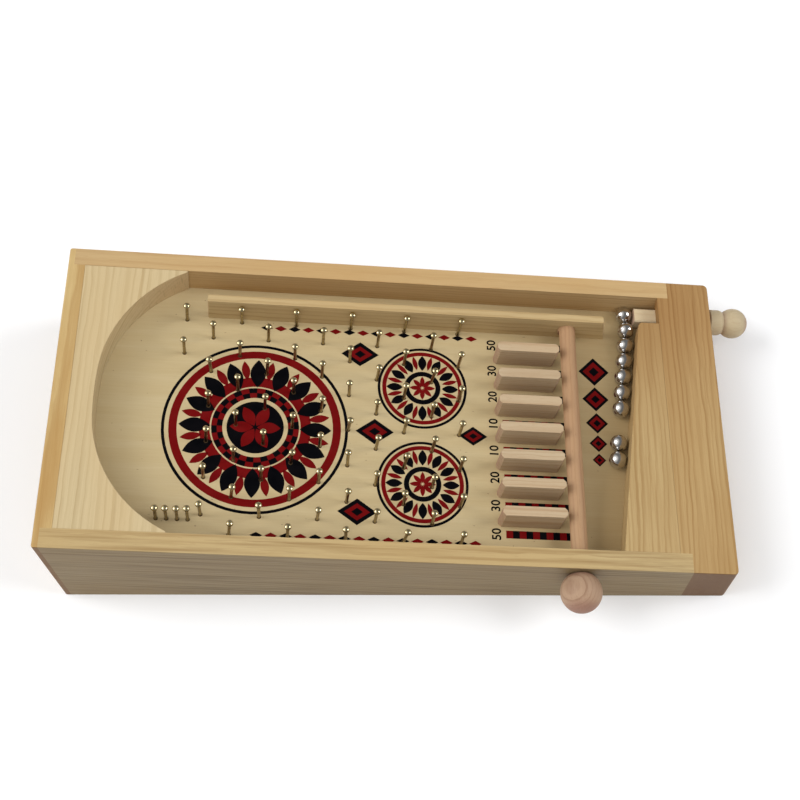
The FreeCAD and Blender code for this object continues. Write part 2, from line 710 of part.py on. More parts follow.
def pin_columns():
    """Full columns of pins alternate with columns one pin shorter, set halfway between them."""
    columns = int(value("pin_columns"))
    rows = int(value("pin_rows"))
    first = f"({STRIP_NEAR} - pin_far_margin)"
    row_pitch = f"(({first} + {SIDE_INNER} - pin_near_margin) / (pin_rows - 1))"
    run = f"({DIVIDER_START} - pin_divider_margin - pin_start)"
    for column in range(columns):
        offset = 0.5 * (column % 2)
        count = int(value("first_column_pins")) if column == 0 else rows - column % 2
        along = [f"pin_start + {run} * {column} / (pin_columns - 1)"] * count
        across = [f"{first} - {row_pitch} * {row + offset}" for row in range(count)]
        pin_group(f"pin_column_{column:02d}", along, across)


def pin_fence():
    count = int(value("fence_pins"))
    along = [f"fence_start + {index} * fence_pitch" for index in range(count)]
    pin_group("pin_fence", along, [f"fence_margin - {SIDE_INNER}"] * count)


# ---- The gate --------------------------------------------------------------------------------


def gate_bar():
    """The bar across the channels. Between its journals more than half of it is cut away."""
    body = new_body("gate_bar")
    on_deck(body, GATE_AT, "0", GATE_LEVEL)
    far_end = f"({STRIP_NEAR} + gate_socket - gate_end_gap)"
    near_end = "(case_width / 2 + gate_end_gap + gate_knob_bore)"
    blank = new_sketch(body, "Blank", "XZ_Plane", f"-{far_end}")
    circle(blank, "0", "0", "gate_diameter / 2")
    pad(body, blank, f"{far_end} + {near_end}")
    relief = new_sketch(body, "Relief", "XZ_Plane", f"{SIDE_INNER} - gate_journal")
    contour(relief, rectangle("-gate_diameter", "gate_diameter", "-gate_diameter", "gate_relief"))
    pocket(body, relief, f"{SIDE_INNER} + {STRIP_NEAR} - 2 * gate_journal")


def gate_knob():
    """A ball knob with a flat towards the rail, turned about the axis of the gate bar."""
    facets = int(value("knob_facets"))
    radius = value("gate_knob_diameter / 2")
    flat = value("gate_knob_flat")
    bottom = flat - value("gate_knob_bore")
    bore = knob_bore("gate_diameter")
    rim = 180 - math.degrees(math.acos(flat / radius))
    ball = arc_profile(0, radius, 0, rim, round(facets * rim / 360))
    profile = [*ball, (bore, flat), (bore, bottom), (0, bottom)]
    across = "-case_width / 2 - gate_end_gap - gate_knob_flat"
    deck_feature("gate_knob", facet_solid(profile, facets, "Y"), GATE_AT, across, GATE_LEVEL)


def knob_bore(diameter):
    """Radius to the corners of a bore whose flats clear a round rod."""
    return value(f"{diameter} / 2 + rod_fit") / math.cos(math.pi / value("knob_facets"))


# ---- The plunger -----------------------------------------------------------------------------


def plunger_head():
    """The square block that strikes the ball, bored at its back for the rod."""
    body = new_body("plunger_head")
    on_deck(body, HEAD_FRONT, PLUNGER_LINE, PLUNGER_LEVEL)
    section = new_sketch(body, "Section", "YZ_Plane")
    half = ("(head_width / 2)", "(head_rise / 2)")
    contour(section, rectangle(f"-{half[0]}", half[0], f"-{half[1]}", half[1]))
    pad(body, section, "head_length")
    length = value("head_length")
    bevel(body, "head_easing", lambda edge: near(edge.Length, length))
    bore = new_sketch(body, "Bore", "YZ_Plane", "head_length")
    circle(bore, "0", "0", "rod_diameter / 2 + rod_fit")
    pocket(body, bore, "rod_bore")


def plunger_rod():
    body = new_body("plunger_rod")
    start = f"({HEAD_REAR} - rod_bore)"
    on_deck(body, start, PLUNGER_LINE, PLUNGER_LEVEL)
    section = new_sketch(body, "Section", "YZ_Plane")
    circle(section, "0", "0", "rod_diameter / 2")
    pad(body, section, f"{KNOB_FACE} + rod_bore - {start}")


def plunger_knob():
    """A turned knob: a collar that rounds down to a neck, and a ball."""
    facets = int(value("knob_facets"))
    collar = value("knob_collar / 2")
    straight = value("knob_collar_length")
    neck = value("knob_neck / 2")
    radius = value("knob_ball / 2")
    centre = value("knob_ball_centre")
    bottom = value("rod_bore")
    bore = knob_bore("rod_diameter")
    start = math.degrees(math.asin(neck / radius))
    ball = arc_profile(centre, radius, start, 180, round(facets * (180 - start) / 360))
    run = ball[0][1] - straight
    drop = collar - neck
    round_radius = (run**2 + drop**2) / (2 * drop)
    sweep = math.asin(run / round_radius)
    steps = int(value("knob_rounding_steps"))
    turns = [sweep * step / steps for step in range(steps)]
    rounding = [
        (collar - round_radius * (1 - math.cos(turn)), straight + round_radius * math.sin(turn))
        for turn in turns
    ]
    profile = [(0, bottom), (bore, bottom), (bore, 0), (collar, 0), *rounding, *ball]
    knob = facet_solid(profile, facets, "X")
    deck_feature("plunger_knob", knob, KNOB_FACE, PLUNGER_LINE, PLUNGER_LEVEL)


def plunger_spring():
    """A compression spring round the rod: a square wire wound along a helix of short flats."""
    turns = int(value("spring_turns"))
    flats = int(value("spring_flats"))
    half = value("spring_wire / 2")
    radius = value("spring_diameter / 2") - half
    length = value(f"{MORTISE_END} - {HEAD_REAR} - 2 * spring_gap") - 2 * half
    wire = [(-half, -half), (-half, half), (half, half), (half, -half)]
    rings = []
    for step in range(turns * flats + 1):
        angle = 2 * math.pi * step / flats
        middle = half + length * step / (turns * flats)
        rings.append([
            FreeCAD.Vector(
                middle + along,
                (radius + out) * math.cos(angle),
                (radius + out) * math.sin(angle),
            )
            for along, out in wire
        ])
    loops = [ring + ring[:1] for ring in (rings[0], rings[-1])]
    for first, second in zip(rings, rings[1:]):
        for corner in range(len(wire)):
            other = (corner + 1) % len(wire)
            loops.append([first[corner], first[other], second[other], first[corner]])
            loops.append([first[corner], second[other], second[corner], first[corner]])
    start = f"({HEAD_REAR} + spring_gap)"
    deck_feature("plunger_spring", closed(loops), start, PLUNGER_LINE, PLUNGER_LEVEL)


# ---- The balls -------------------------------------------------------------------------------


def ball_shape():
    facets = int(value("ball_facets"))
    profile = arc_profile(0, value("ball_diameter / 2"), 0, 180, facets // 2)
    return facet_solid(profile, facets)


def lane_ball():
    """The ball that waits before the plunger, against the far rail."""
    along = f"{HEAD_FRONT} - ball_gap - ball_diameter / 2"
    across = f"{SIDE_INNER} - ball_gap - ball_diameter / 2"
    deck_feature("lane_ball", ball_shape(), along, across, BALL_LEVEL)


def trough_balls():
    """The balls that wait along the trough wall: a row beside the lane and a loose pair."""
    ball = ball_shape()
    run = math.hypot(1, value(TROUGH_LEAN))
    along_wall = FreeCAD.Vector(-value(TROUGH_LEAN) / run, -1 / run, 0)
    off_wall = FreeCAD.Vector(along_wall.y, -along_wall.x, 0)
    corner = FreeCAD.Vector(
        value(f"{FOOT_FACE} - trough_far_depth * {STRETCH} - {BALL_LEVEL} * {FALL}"),
        value(f"{SIDE_INNER} - trough_far_gap"),
        0,
    )
    beside_wall = corner + off_wall * value(f"(ball_diameter / 2 + ball_gap) * {STRETCH}")
    first_across = value(f"{SIDE_INNER} - 3 / 2 * ball_diameter - ball_gap - row_gap")
    first = beside_wall + along_wall * ((first_across - beside_wall.y) / along_wall.y)
    pitch = value("ball_pitch")
    steps = [index * pitch for index in range(int(value("row_count")))]
    steps += [value("pair_position") + index * pitch for index in range(int(value("pair_count")))]
    group = Part.Compound([ball.translated(first + along_wall * step) for step in steps])
    deck_feature("trough_balls", group, level=BALL_LEVEL)


# ---- Building, checking and writing ----------------------------------------------------------

near_side_rail()
side_rail("far_side_rail", 1)
head_end_rail()
foot_end_rail()
playfield_board()
base_panel()
head_arch_block()
trough_block()
lane_strip()
score_dividers()
pin_columns()
pin_fence()
gate_bar()
gate_knob()
plunger_head()
plunger_rod()
plunger_knob()
plunger_spring()
lane_ball()
trough_balls()
document.recompute()

for item in document.Objects:
    if "Invalid" in item.State or "Error" in item.State:
        raise RuntimeError(f"{item.Label} failed: {item.State}")
for piece in pieces:
    if piece.Shape.isNull() or not piece.Shape.isValid():
        raise RuntimeError(f"{piece.Label} has no valid shape")

os.makedirs("parts", exist_ok=True)
for piece in pieces:
    piece.Shape.exportStep(f"parts/{piece.Label}.step")
    print(piece.Label, len(piece.Shape.Solids), round(piece.Shape.Volume, 1))
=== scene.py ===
import math
import random

import bmesh
import bpy
from mathutils import Matrix, Vector


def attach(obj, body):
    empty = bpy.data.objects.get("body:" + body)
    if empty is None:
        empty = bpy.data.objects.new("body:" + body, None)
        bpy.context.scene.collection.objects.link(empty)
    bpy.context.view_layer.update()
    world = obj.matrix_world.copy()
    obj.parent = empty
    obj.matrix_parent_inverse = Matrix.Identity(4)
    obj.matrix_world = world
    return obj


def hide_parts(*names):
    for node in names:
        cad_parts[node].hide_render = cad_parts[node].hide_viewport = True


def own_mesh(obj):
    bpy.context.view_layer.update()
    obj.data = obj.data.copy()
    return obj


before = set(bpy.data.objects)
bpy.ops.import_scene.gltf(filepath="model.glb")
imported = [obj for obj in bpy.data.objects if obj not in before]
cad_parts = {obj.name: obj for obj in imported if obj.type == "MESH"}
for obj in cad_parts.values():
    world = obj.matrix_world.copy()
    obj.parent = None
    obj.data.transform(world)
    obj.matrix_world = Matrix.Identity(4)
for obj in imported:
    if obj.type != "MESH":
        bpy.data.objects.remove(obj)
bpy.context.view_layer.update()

# The looks of a bagatelle board: timber and print, brass pins, steel balls, studio.
#
# The row frame has +X from head to foot, +Y to the lane side, +Z up, origin under the middle of the
# case. The deck frame is for what stands on the playfield: "along" runs down the slope from the top
# outer edge of the head rail, "across" is Y, and "level" is the height above the plane of the rail
# tops. Places and sizes in the deck frame are in millimetres, and meshes are made in the row frame.

MM = 0.001

# The case, in millimetres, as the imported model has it
CASE_LENGTH = 410.0
HEAD_HEIGHT = 86.0
FOOT_HEIGHT = 40.5
HALF_INSIDE = 88.0
BOARD_DEPTH = 21.0
HEAD_RAIL = 10.5
FOOT_RAIL = 34.3

FALL = (HEAD_HEIGHT - FOOT_HEIGHT) / CASE_LENGTH
STRETCH = math.hypot(1, FALL)
SLOPE = math.atan(FALL)
HEAD_FACE = HEAD_RAIL * STRETCH
FOOT_FACE = (CASE_LENGTH - FOOT_RAIL) * STRETCH
DECK = Matrix.Translation((-CASE_LENGTH / 2 * MM, 0, HEAD_HEIGHT * MM)) @ Matrix.Rotation(SLOPE, 4, "Y")
TO_DECK = DECK.inverted()

RANDOM_SEED = 7
SHARP_ANGLE = math.radians(35)
NEARLY_ZERO = 1e-6


# ---- Materials -------------------------------------------------------------------------------


class Finish:
    """One material: a Principled shader, and short calls that add the nodes which drive it."""

    def __init__(self, name, **constants):
        self.material = bpy.data.materials.new(name)
        self.material.use_nodes = True
        self.tree = self.material.node_tree
        self.tree.nodes.clear()
        self.shader = self.node("ShaderNodeBsdfPrincipled")
        output = self.node("ShaderNodeOutputMaterial")
        self.tree.links.new(self.shader.outputs["BSDF"], output.inputs["Surface"])
        for socket, setting in constants.items():
            self.shader.inputs[socket.replace("_", " ")].default_value = setting

    def node(self, kind, inputs=None, **settings):
        made = self.tree.nodes.new(kind)
        for key, setting in settings.items():
            setattr(made, key, setting)
        for key, source in (inputs or {}).items():
            self.feed(made.inputs[key], source)
        return made

    def feed(self, socket, source):
        if isinstance(source, bpy.types.NodeSocket):
            self.tree.links.new(source, socket)
        else:
            socket.default_value = source

    def set(self, socket, source):
        self.feed(self.shader.inputs[socket], source)

    def math(self, operation, first, second=0.0):
        return self.node("ShaderNodeMath", {0: first, 1: second}, operation=operation).outputs[0]

    def vector(self, operation, first, second=(0, 0, 0)):
        made = self.node("ShaderNodeVectorMath", {0: first, 1: second}, operation=operation)
        return made.outputs["Value" if operation == "LENGTH" else "Vector"]

    def ease(self, source, low, high, start=0.0, end=1.0):
        """Start below low, end above high, and a smooth step between them."""
        inputs = {"Value": source, "From Min": low, "From Max": high, "To Min": start, "To Max": end}
        return self.node("ShaderNodeMapRange", inputs, interpolation_type="SMOOTHSTEP").outputs["Result"]

    def span(self, source, start, end, low=0.3, high=0.7):
        """The usual range of a noise spread over start to end."""
        inputs = {"Value": source, "From Min": low, "From Max": high, "To Min": start, "To Max": end}
        return self.node("ShaderNodeMapRange", inputs).outputs["Result"]

    def mix(self, share, first, second, blend="MIX"):
        made = self.node("ShaderNodeMix", data_type="RGBA", blend_type=blend)
        self.feed(made.inputs["Factor"], share)
        self.feed(made.inputs["A"], first)
        self.feed(made.inputs["B"], second)
        return made.outputs["Result"]

    def noise(self, place, stretch=(1, 1, 1), detail=2.0, colour=False):
        inputs = {"Vector": self.vector("MULTIPLY", place, stretch), "Scale": 1.0, "Detail": detail}
        made = self.node("ShaderNodeTexNoise", inputs)
        return made.outputs["Color" if colour else "Fac"]

    def noise_along(self, source):
        """A noise over one number."""
        made = self.node("ShaderNodeTexNoise", {"W": source, "Scale": 1.0}, noise_dimensions="1D")
        return made.outputs["Fac"]

    def place(self, turn=(0, 0, 0)):
        """Object coordinates in millimetres, turned."""
        source = self.node("ShaderNodeTexCoord").outputs["Object"]
        inputs = {"Vector": source, "Rotation": turn, "Scale": (1 / MM,) * 3}
        return self.node("ShaderNodeMapping", inputs).outputs["Vector"]

    def bump(self, height, depth):
        """Depth is in millimetres, for a height from 0 to 1."""
        inputs = {"Strength": 1.0, "Distance": depth * MM, "Height": height}
        self.set("Normal", self.node("ShaderNodeBump", inputs).outputs["Normal"])


# Turns that bring the X axis along the grain, or to a side of the case
ALONG = (0, -SLOPE, 0)
ACROSS = (0, -SLOPE, -math.pi / 2)
TO_NEAR_SIDE = (0, 0, math.pi / 2)
TO_HEAD_SIDE = (0, 0, math.pi)

# Tones of cut end grain. The one of the case also holds shade of the photograph
CUT_END = (0.74, 0.62, 0.66, 1)
CASE_END = (0.34, 0.275, 0.28, 1)
PALE_END = (0.97, 0.90, 0.86, 1)

# Where a colour starts and ends to go over into a tone of itself, in millimetres, and the tone
FAR_END_SHIFT = (-40.0, 85.0, (0.82, 0.72, 0.64, 1))
# The second is painted shade: it darkens the playfield towards the foot, over the gate and the trough
TROUGH_PAINTED_SHADE = (20.0, 130.0, (0.75, 0.69, 0.62, 1))

# Shade that the photograph has on two outer faces and the light of this studio does not give
NEAR_FACE_SHADE = (0.475, 0.475, 0.515, 1)
HEAD_FACE_SHADE = (0.72, 0.74, 0.86, 1)

# Waves of each pattern in a millimetre: along the grain, beside it and above it. Saw marks and
# hardboard have theirs along X, Y and Z
DRIFT_WAVES = (0.005, 0.02, 0.02)
RIPPLE_WAVES = (0.045, 0.09, 0.09)
STREAK_WAVES = (0.012, 0.35, 0.35)
FIBRE_WAVES = (0.03, 2.4, 2.4)
DASH_WAVES = (0.16, 2.2, 2.2)
PATCH_WAVES = (0.006, 0.022, 0.022)
SAW_WAVES = (1.3, 1.3, 0.06)
VENEER_STREAK_WAVES = (0.010, 0.12, 0.12)
VENEER_FIBRE_WAVES = (0.05, 1.8, 1.8)
SPECK_WAVES = (0.45, 0.70, 0.70)
HARDBOARD_WAVES = (0.9, 0.9, 0.9)
INK_WAVES = (0.12, 0.12, 0.12)

# A growth ring: its parts where late wood comes up and where it stops, its unevenness, and the share
# of it that is left on cut end grain
LATE_WOOD_RISE = (0.42, 0.90)
LATE_WOOD_STOP = (0.92, 1.0)
RIPPLE_SIZE = 4
SPACING_WAVES = 0.6
WEIGHT_WAVES = 0.37
END_RINGS_SHARE = 0.45

# How much a dash or speck darkens, and the range of a noise over which each mark becomes firm
DASH_SHARE = 0.16
FIRM_DASH = (0.62, 0.72)
FIRM_SAW_MARK = (0.60, 0.74)
FIRM_SPECK = (0.845, 0.87)
SPECK_SHARE = 0.6
FIRM_FIBRE = (0.62, 0.76)

# How far a normal points a certain way before the surface counts as facing it, from none to all, and
# the range to both sides of the height above which metal is painted as lit and below which its sides are
# painted in shade
FACING_EDGE = (0.45, 0.9)
PAINTED_LIGHT_EDGE = 0.15

# Depth of the relief of each surface, in millimetres
TIMBER_RELIEF = 0.12
VENEER_RELIEF = 0.05
HARDBOARD_RELIEF = 0.15
INK_RELIEF = 0.03

# Roughness of each surface, from one end of its noise to the other
TIMBER_ROUGHNESS = (0.48, 0.62)
VENEER_ROUGHNESS = (0.46, 0.60)
HARDBOARD_ROUGHNESS = (0.6, 0.8)
INK_ROUGHNESS = (0.50, 0.66)


def wood(spacing, light, dark, warm, **looks):
    """The colours of a timber: early wood, late wood and broad warm patches; spacing of its rings."""
    colours = dict(light=(*light, 1), dark=(*dark, 1), warm=(*warm, 1))
    return dict(spacing=spacing, **colours, **looks)


NEAR_PINE = wood(
    2.7,
    (0.485, 0.366, 0.186),
    (0.285, 0.190, 0.085),
    (0.455, 0.305, 0.128),
    rings=0.5,
    streaks=0.85,
    flecks=0.12,
)
FAR_PINE = wood(
    2.7,
    (0.520, 0.372, 0.190),
    (0.322, 0.184, 0.070),
    (0.480, 0.285, 0.110),
    rings=0.6,
    streaks=0.26,
)
HEAD_RAIL_PINE = wood(
    4.5,
    (0.555, 0.400, 0.182),
    (0.345, 0.195, 0.064),
    (0.390, 0.205, 0.054),
    rings=0.6,
    patches=2.0,
    ends=CASE_END,
)
FOOT_PINE = wood(
    2.3,
    (0.475, 0.328, 0.150),
    (0.285, 0.162, 0.055),
    (0.330, 0.182, 0.060),
    ripple=0.45,
    rings=0.65,
    streaks=0.34,
    ends=CASE_END,
    shift=FAR_END_SHIFT,
)
WEDGE_PINE = wood(
    2.3,
    (0.488, 0.354, 0.171),
    (0.292, 0.176, 0.065),
    (0.350, 0.206, 0.075),
    ripple=0.45,
    rings=0.65,
    streaks=0.34,
    shift=FAR_END_SHIFT,
)
PALE_PINE = wood(
    3.1,
    (0.560, 0.456, 0.272),
    (0.360, 0.262, 0.130),
    (0.550, 0.400, 0.205),
    rings=0.7,
    marks=0.6,
    ends=PALE_END,
)
STRIP_PINE = wood(2.8, (0.515, 0.395, 0.210), (0.297, 0.193, 0.082), (0.470, 0.320, 0.145))
DIVIDER_BEECH = wood(
    2.4,
    (0.500, 0.398, 0.262),
    (0.335, 0.207, 0.110),
    (0.470, 0.322, 0.188),
    rings=0.6,
    flecks=0.3,
)
GATE_BEECH = wood(
    2.6,
    (0.440, 0.283, 0.158),
    (0.270, 0.144, 0.080),
    (0.392, 0.220, 0.112),
    rings=0.6,
    flecks=0.35,
)
KNOB_BEECH = wood(
    2.4,
    (0.395, 0.272, 0.182),
    (0.225, 0.127, 0.078),
    (0.345, 0.204, 0.122),
    rings=0.65,
    flecks=0.2,
)
BIRCH = wood(
    3.0,
    (0.475, 0.388, 0.250),
    (0.365, 0.262, 0.150),
    (0.450, 0.342, 0.198),
    rings=0.2,
    flecks=0.05,
)
HEAD_BIRCH = wood(
    3.0, (0.660, 0.545, 0.362), (0.490, 0.358, 0.205), (0.610, 0.470, 0.290), rings=0.3
)


def timber(
    name,
    grain,
    pith,
    spacing,
    light,
    dark,
    warm,
    wander=4.0,
    ripple=0.5,
    rings=1.0,
    flecks=0.0,
    streaks=0.20,
    patches=1.0,
    marks=0.20,
    ends=CUT_END,
    shift=None,
    shade=None,
):
    """Sawn timber with growth rings round a pith, in millimetres beside the grain and above it.

    Ends is the tone of its end grain, shift a change of colour along the grain, and shade the turn to one
    face and the tone that darkens that face as the photograph shows it, whatever light falls on it.
    """
    finish = Finish(name, IOR=1.45, Specular_IOR_Level=0.25)
    place = finish.place(grain)
    drift = finish.noise(place, DRIFT_WAVES, 2.0, colour=True)
    drift = finish.vector("MULTIPLY", finish.vector("SUBTRACT", drift, (0.5,) * 3), (0, wander, wander))
    wave = finish.noise(place, RIPPLE_WAVES, 2.0, colour=True)
    reach = RIPPLE_SIZE * ripple
    wave = finish.vector("MULTIPLY", finish.vector("SUBTRACT", wave, (0.5,) * 3), (0, reach, reach))
    section = finish.vector("ADD", finish.vector("SUBTRACT", place, (0, *pith)), drift)
    section = finish.vector("ADD", section, wave)
    radius = finish.vector("LENGTH", finish.vector("MULTIPLY", section, (0, 1, 1)))
    turns = finish.math("DIVIDE", radius, spacing)
    turns = finish.math("ADD", turns, finish.noise_along(finish.math("MULTIPLY", turns, SPACING_WAVES)))
    part = finish.math("FRACT", turns)
    rise = finish.ease(part, *LATE_WOOD_RISE)
    late = finish.math("MULTIPLY", rise, finish.ease(part, *LATE_WOOD_STOP, 1.0, 0.0))
    weight = finish.span(finish.noise_along(finish.math("MULTIPLY", turns, WEIGHT_WAVES)), 0.30, 1.0)
    late = finish.math("MULTIPLY", late, weight)
    across = facing(finish, grain)
    late = finish.math("MULTIPLY", late, finish.span(across, 1.0, END_RINGS_SHARE, 0.0, 1.0))

    streak = finish.noise(place, STREAK_WAVES, 3.0)
    fibre = finish.noise(place, FIBRE_WAVES, 3.0)
    share = finish.math("MULTIPLY", late, rings)
    share = finish.math("ADD", share, finish.span(streak, -0.6 * streaks, streaks))
    share = finish.math("ADD", share, finish.span(fibre, -0.12, 0.16))
    colour = finish.mix(share, light, dark)

    dash = finish.ease(finish.noise(place, DASH_WAVES, 1.0), *FIRM_DASH)
    colour = finish.mix(finish.math("MULTIPLY", dash, DASH_SHARE + flecks), colour, dark)
    broad = finish.noise(place, tuple(waves * patches for waves in PATCH_WAVES), 3.0)
    colour = finish.mix(finish.span(broad, 0.0, 0.65), colour, warm)
    if shift is not None:
        colour = shifted(finish, colour, place, *shift)
    colour = finish.mix(across, colour, finish.mix(1.0, colour, ends, "MULTIPLY"))
    if shade is not None:
        side, tone = shade
        shaded = facing(finish, side, one_way=True)
        colour = finish.mix(shaded, colour, finish.mix(1.0, colour, tone, "MULTIPLY"))

    saw = finish.noise(finish.place(), SAW_WAVES, 1.0)
    mark = finish.math("MULTIPLY", finish.ease(saw, *FIRM_SAW_MARK), across)
    colour = finish.mix(finish.math("MULTIPLY", mark, marks), colour, dark)
    finish.set("Base Color", colour)
    finish.set("Roughness", finish.span(fibre, *TIMBER_ROUGHNESS))
    height = finish.math("ADD", finish.math("MULTIPLY", late, 0.5), finish.math("MULTIPLY", fibre, 0.5))
    finish.bump(height, TIMBER_RELIEF)
    return finish.material


def shifted(finish, colour, place, start, end, tone):
    """A colour that goes over into a tone of itself from start to end along the grain, in millimetres."""
    along = finish.node("ShaderNodeSeparateXYZ", {"Vector": place}).outputs["X"]
    return finish.mix(finish.ease(along, start, end), colour, finish.mix(1.0, colour, tone, "MULTIPLY"))


def facing(finish, turn, one_way=False):
    """1 where the surface faces along the turned X axis, or against it too, and 0 beside it."""
    normal = finish.node("ShaderNodeTexCoord").outputs["Normal"]
    inputs = {"Vector": normal, "Rotation": turn}
    turned = finish.node("ShaderNodeMapping", inputs, vector_type="VECTOR").outputs["Vector"]
    along = finish.node("ShaderNodeSeparateXYZ", {"Vector": turned}).outputs["X"]
    return finish.ease(along if one_way else finish.math("ABSOLUTE", along), *FACING_EDGE)


def face_veneer(name):
    """The pale plywood face that carries the print."""
    finish = Finish(name, IOR=1.45)
    place = finish.place(ALONG)
    pale, warm = (0.535, 0.432, 0.245, 1), (0.500, 0.388, 0.205, 1)
    fibre_tone, speck_tone = (0.420, 0.305, 0.155, 1), (0.16, 0.09, 0.04, 1)
    streak = finish.noise(place, VENEER_STREAK_WAVES, 3.0)
    fibre = finish.noise(place, VENEER_FIBRE_WAVES, 3.0)
    colour = finish.mix(finish.span(streak, 0.0, 1.0), pale, warm)
    colour = finish.mix(finish.span(fibre, 0.0, 0.24), colour, fibre_tone)
    # Painted shade over the gate and the trough: the veneer darkens towards the foot
    colour = shifted(finish, colour, place, *TROUGH_PAINTED_SHADE)
    speck = finish.ease(finish.noise(place, SPECK_WAVES, 0.0), *FIRM_SPECK)
    colour = finish.mix(finish.math("MULTIPLY", speck, SPECK_SHARE), colour, speck_tone)
    finish.set("Base Color", colour)
    finish.set("Roughness", finish.span(fibre, *VENEER_ROUGHNESS))
    finish.bump(fibre, VENEER_RELIEF)
    return finish.material


def hardboard(name):
    """The brown board under the case."""
    finish = Finish(name, IOR=1.45)
    dark, light = (0.20, 0.115, 0.06, 1), (0.29, 0.18, 0.10, 1)
    place = finish.place()
    fibre = finish.noise(place, HARDBOARD_WAVES, 5.0)
    colour = finish.mix(finish.span(fibre, 0.0, 1.0), dark, light)
    finish.set("Base Color", colour)
    finish.set("Roughness", finish.span(fibre, *HARDBOARD_ROUGHNESS))
    finish.bump(fibre, HARDBOARD_RELIEF)
    return finish.material


def ink(name, colour, worn):
    """Screen-printed ink, thinner where the fibres of the veneer stand up."""
    finish = Finish(name, IOR=1.45, Specular_IOR_Level=0.04)
    place = finish.place(ALONG)
    fibre = finish.noise(place, VENEER_FIBRE_WAVES, 3.0)
    cloud = finish.noise(place, INK_WAVES, 3.0)
    shade = finish.mix(finish.span(cloud, 0.0, 0.5), colour, worn)
    shade = finish.mix(finish.ease(fibre, *FIRM_FIBRE, 0.0, 0.30), shade, worn)
    finish.set("Base Color", shade)
    finish.set("Roughness", finish.span(fibre, *INK_ROUGHNESS))
    finish.bump(fibre, INK_RELIEF)
    return finish.material


def polished_metal(name, colour, tarnish, gloss, dull, waves, painted_light_above=None):
    """Polished metal with clouds of tarnish, from gloss to dull. Where its normal rises above a height it
    has less of them, so the tops carry painted light and the sides painted shade."""
    finish = Finish(name, Metallic=1.0)
    place = finish.place()
    cloud = finish.span(finish.noise(place, (waves,) * 3, 4.0), 0.0, 1.0)
    if painted_light_above is not None:
        normal = finish.node("ShaderNodeTexCoord").outputs["Normal"]
        rise = finish.node("ShaderNodeSeparateXYZ", {"Vector": normal}).outputs["Z"]
        # Painted shade and light: tarnish stays full on the sides and thins on the tops, so the sides come
        # out darker
        worn = finish.ease(rise, painted_light_above - PAINTED_LIGHT_EDGE, painted_light_above + PAINTED_LIGHT_EDGE, 1.0, 0.3)
        cloud = finish.math("MULTIPLY", finish.ease(cloud, -0.6, 1.0), worn)
    finish.set("Base Color", finish.mix(cloud, colour, tarnish))
    finish.set("Roughness", finish.ease(cloud, 0.0, 1.0, gloss, dull))
    return finish.material


NODE_FINISHES = {
    "near_side_rail": timber(
        "pine_near_rail", ALONG, (-30, 140), shade=(TO_NEAR_SIDE, NEAR_FACE_SHADE), **NEAR_PINE
    ),
    "far_side_rail": timber("pine_far_rail", ALONG, (60, -35), **FAR_PINE),
    "head_end_rail": timber(
        "pine_head_rail", ACROSS, (170, -55), shade=(TO_HEAD_SIDE, HEAD_FACE_SHADE), **HEAD_RAIL_PINE
    ),
    "foot_end_rail": timber("pine_foot_rail", ACROSS, (-290, -60), wander=12.0, **FOOT_PINE),
    "lane_strip": timber("pine_lane_strip", ALONG, (40, 30), **STRIP_PINE),
    "playfield_board": face_veneer("printed_veneer"),
    "base_panel": hardboard("base_hardboard"),
    "gate_bar": timber("beech_gate_bar", ACROSS, (30, 20), **GATE_BEECH),
    "plunger_head": timber("birch_plunger_head", ALONG, (30, 20), **HEAD_BIRCH),
    "plunger_rod": timber("birch_plunger_rod", ALONG, (20, 30), **BIRCH),
}
for node, material in NODE_FINISHES.items():
    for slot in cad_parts[node].material_slots:
        slot.material = material

HEAD_BLOCK_WOOD = timber("pine_head_block", ACROSS, (90, -40), wander=8.0, **PALE_PINE)
TROUGH_BLOCK_WOOD = timber("pine_trough_block", ACROSS, (-250, -45), wander=14.0, **WEDGE_PINE)
DIVIDER_WOOD = timber("beech_divider", ALONG, (25, 18), **DIVIDER_BEECH)
GATE_KNOB_WOOD = timber("beech_gate_knob", ACROSS, (-154, -9), **KNOB_BEECH)
PLUNGER_KNOB_WOOD = timber("birch_plunger_knob", ALONG, (80, 20), **BIRCH)
# The pins' shanks carry painted shade and their domes painted light, set by the height of their normals
BRASS = polished_metal(
    "brass",
    (0.68, 0.58, 0.34, 1),
    (0.20, 0.145, 0.07, 1),
    gloss=0.16,
    dull=0.36,
    waves=0.9,
    painted_light_above=0.2,
)
CHROME = polished_metal(
    "chrome_steel", (0.66, 0.65, 0.64, 1), (0.52, 0.51, 0.50, 1), gloss=0.13, dull=0.20, waves=0.25
)
SPRING_STEEL = polished_metal(
    "spring_steel", (0.55, 0.55, 0.56, 1), (0.36, 0.35, 0.34, 1), gloss=0.22, dull=0.40, waves=0.8
)
BLACK_INK = ink("black_ink", (0.0010, 0.0012, 0.0022, 1), (0.005, 0.004, 0.005, 1))
RED_INK = ink("red_ink", (0.138, 0.0025, 0.003, 1), (0.165, 0.008, 0.008, 1))
HOLE_STAIN = ink("hole_stain", (0.050, 0.030, 0.015, 1), (0.14, 0.09, 0.045, 1))


# ---- Building blocks -------------------------------------------------------------------------


def deck(along, across, level):
    """A point of the deck frame, in millimetres, as a point of the row frame, in metres."""
    return DECK @ (Vector((along, across, level)) * MM)


def piece(name, vertices, faces, material, body, slot, replaced=()):
    """A mesh from points of the row frame, smooth except at its sharp edges."""
    mesh = bpy.data.meshes.new(name)
    mesh.from_pydata(vertices, [], faces)
    mesh.validate()
    shape = bmesh.new()
    shape.from_mesh(mesh)
    bmesh.ops.recalc_face_normals(shape, faces=shape.faces)
    shape.to_mesh(mesh)
    shape.free()
    mesh.shade_smooth()
    mesh.set_sharp_from_angle(angle=SHARP_ANGLE)
    mesh.materials.append(material)
    made = bpy.data.objects.new(name, mesh)
    bpy.context.scene.collection.objects.link(made)
    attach(made, body)
    if replaced:
        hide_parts(*replaced)
    return made


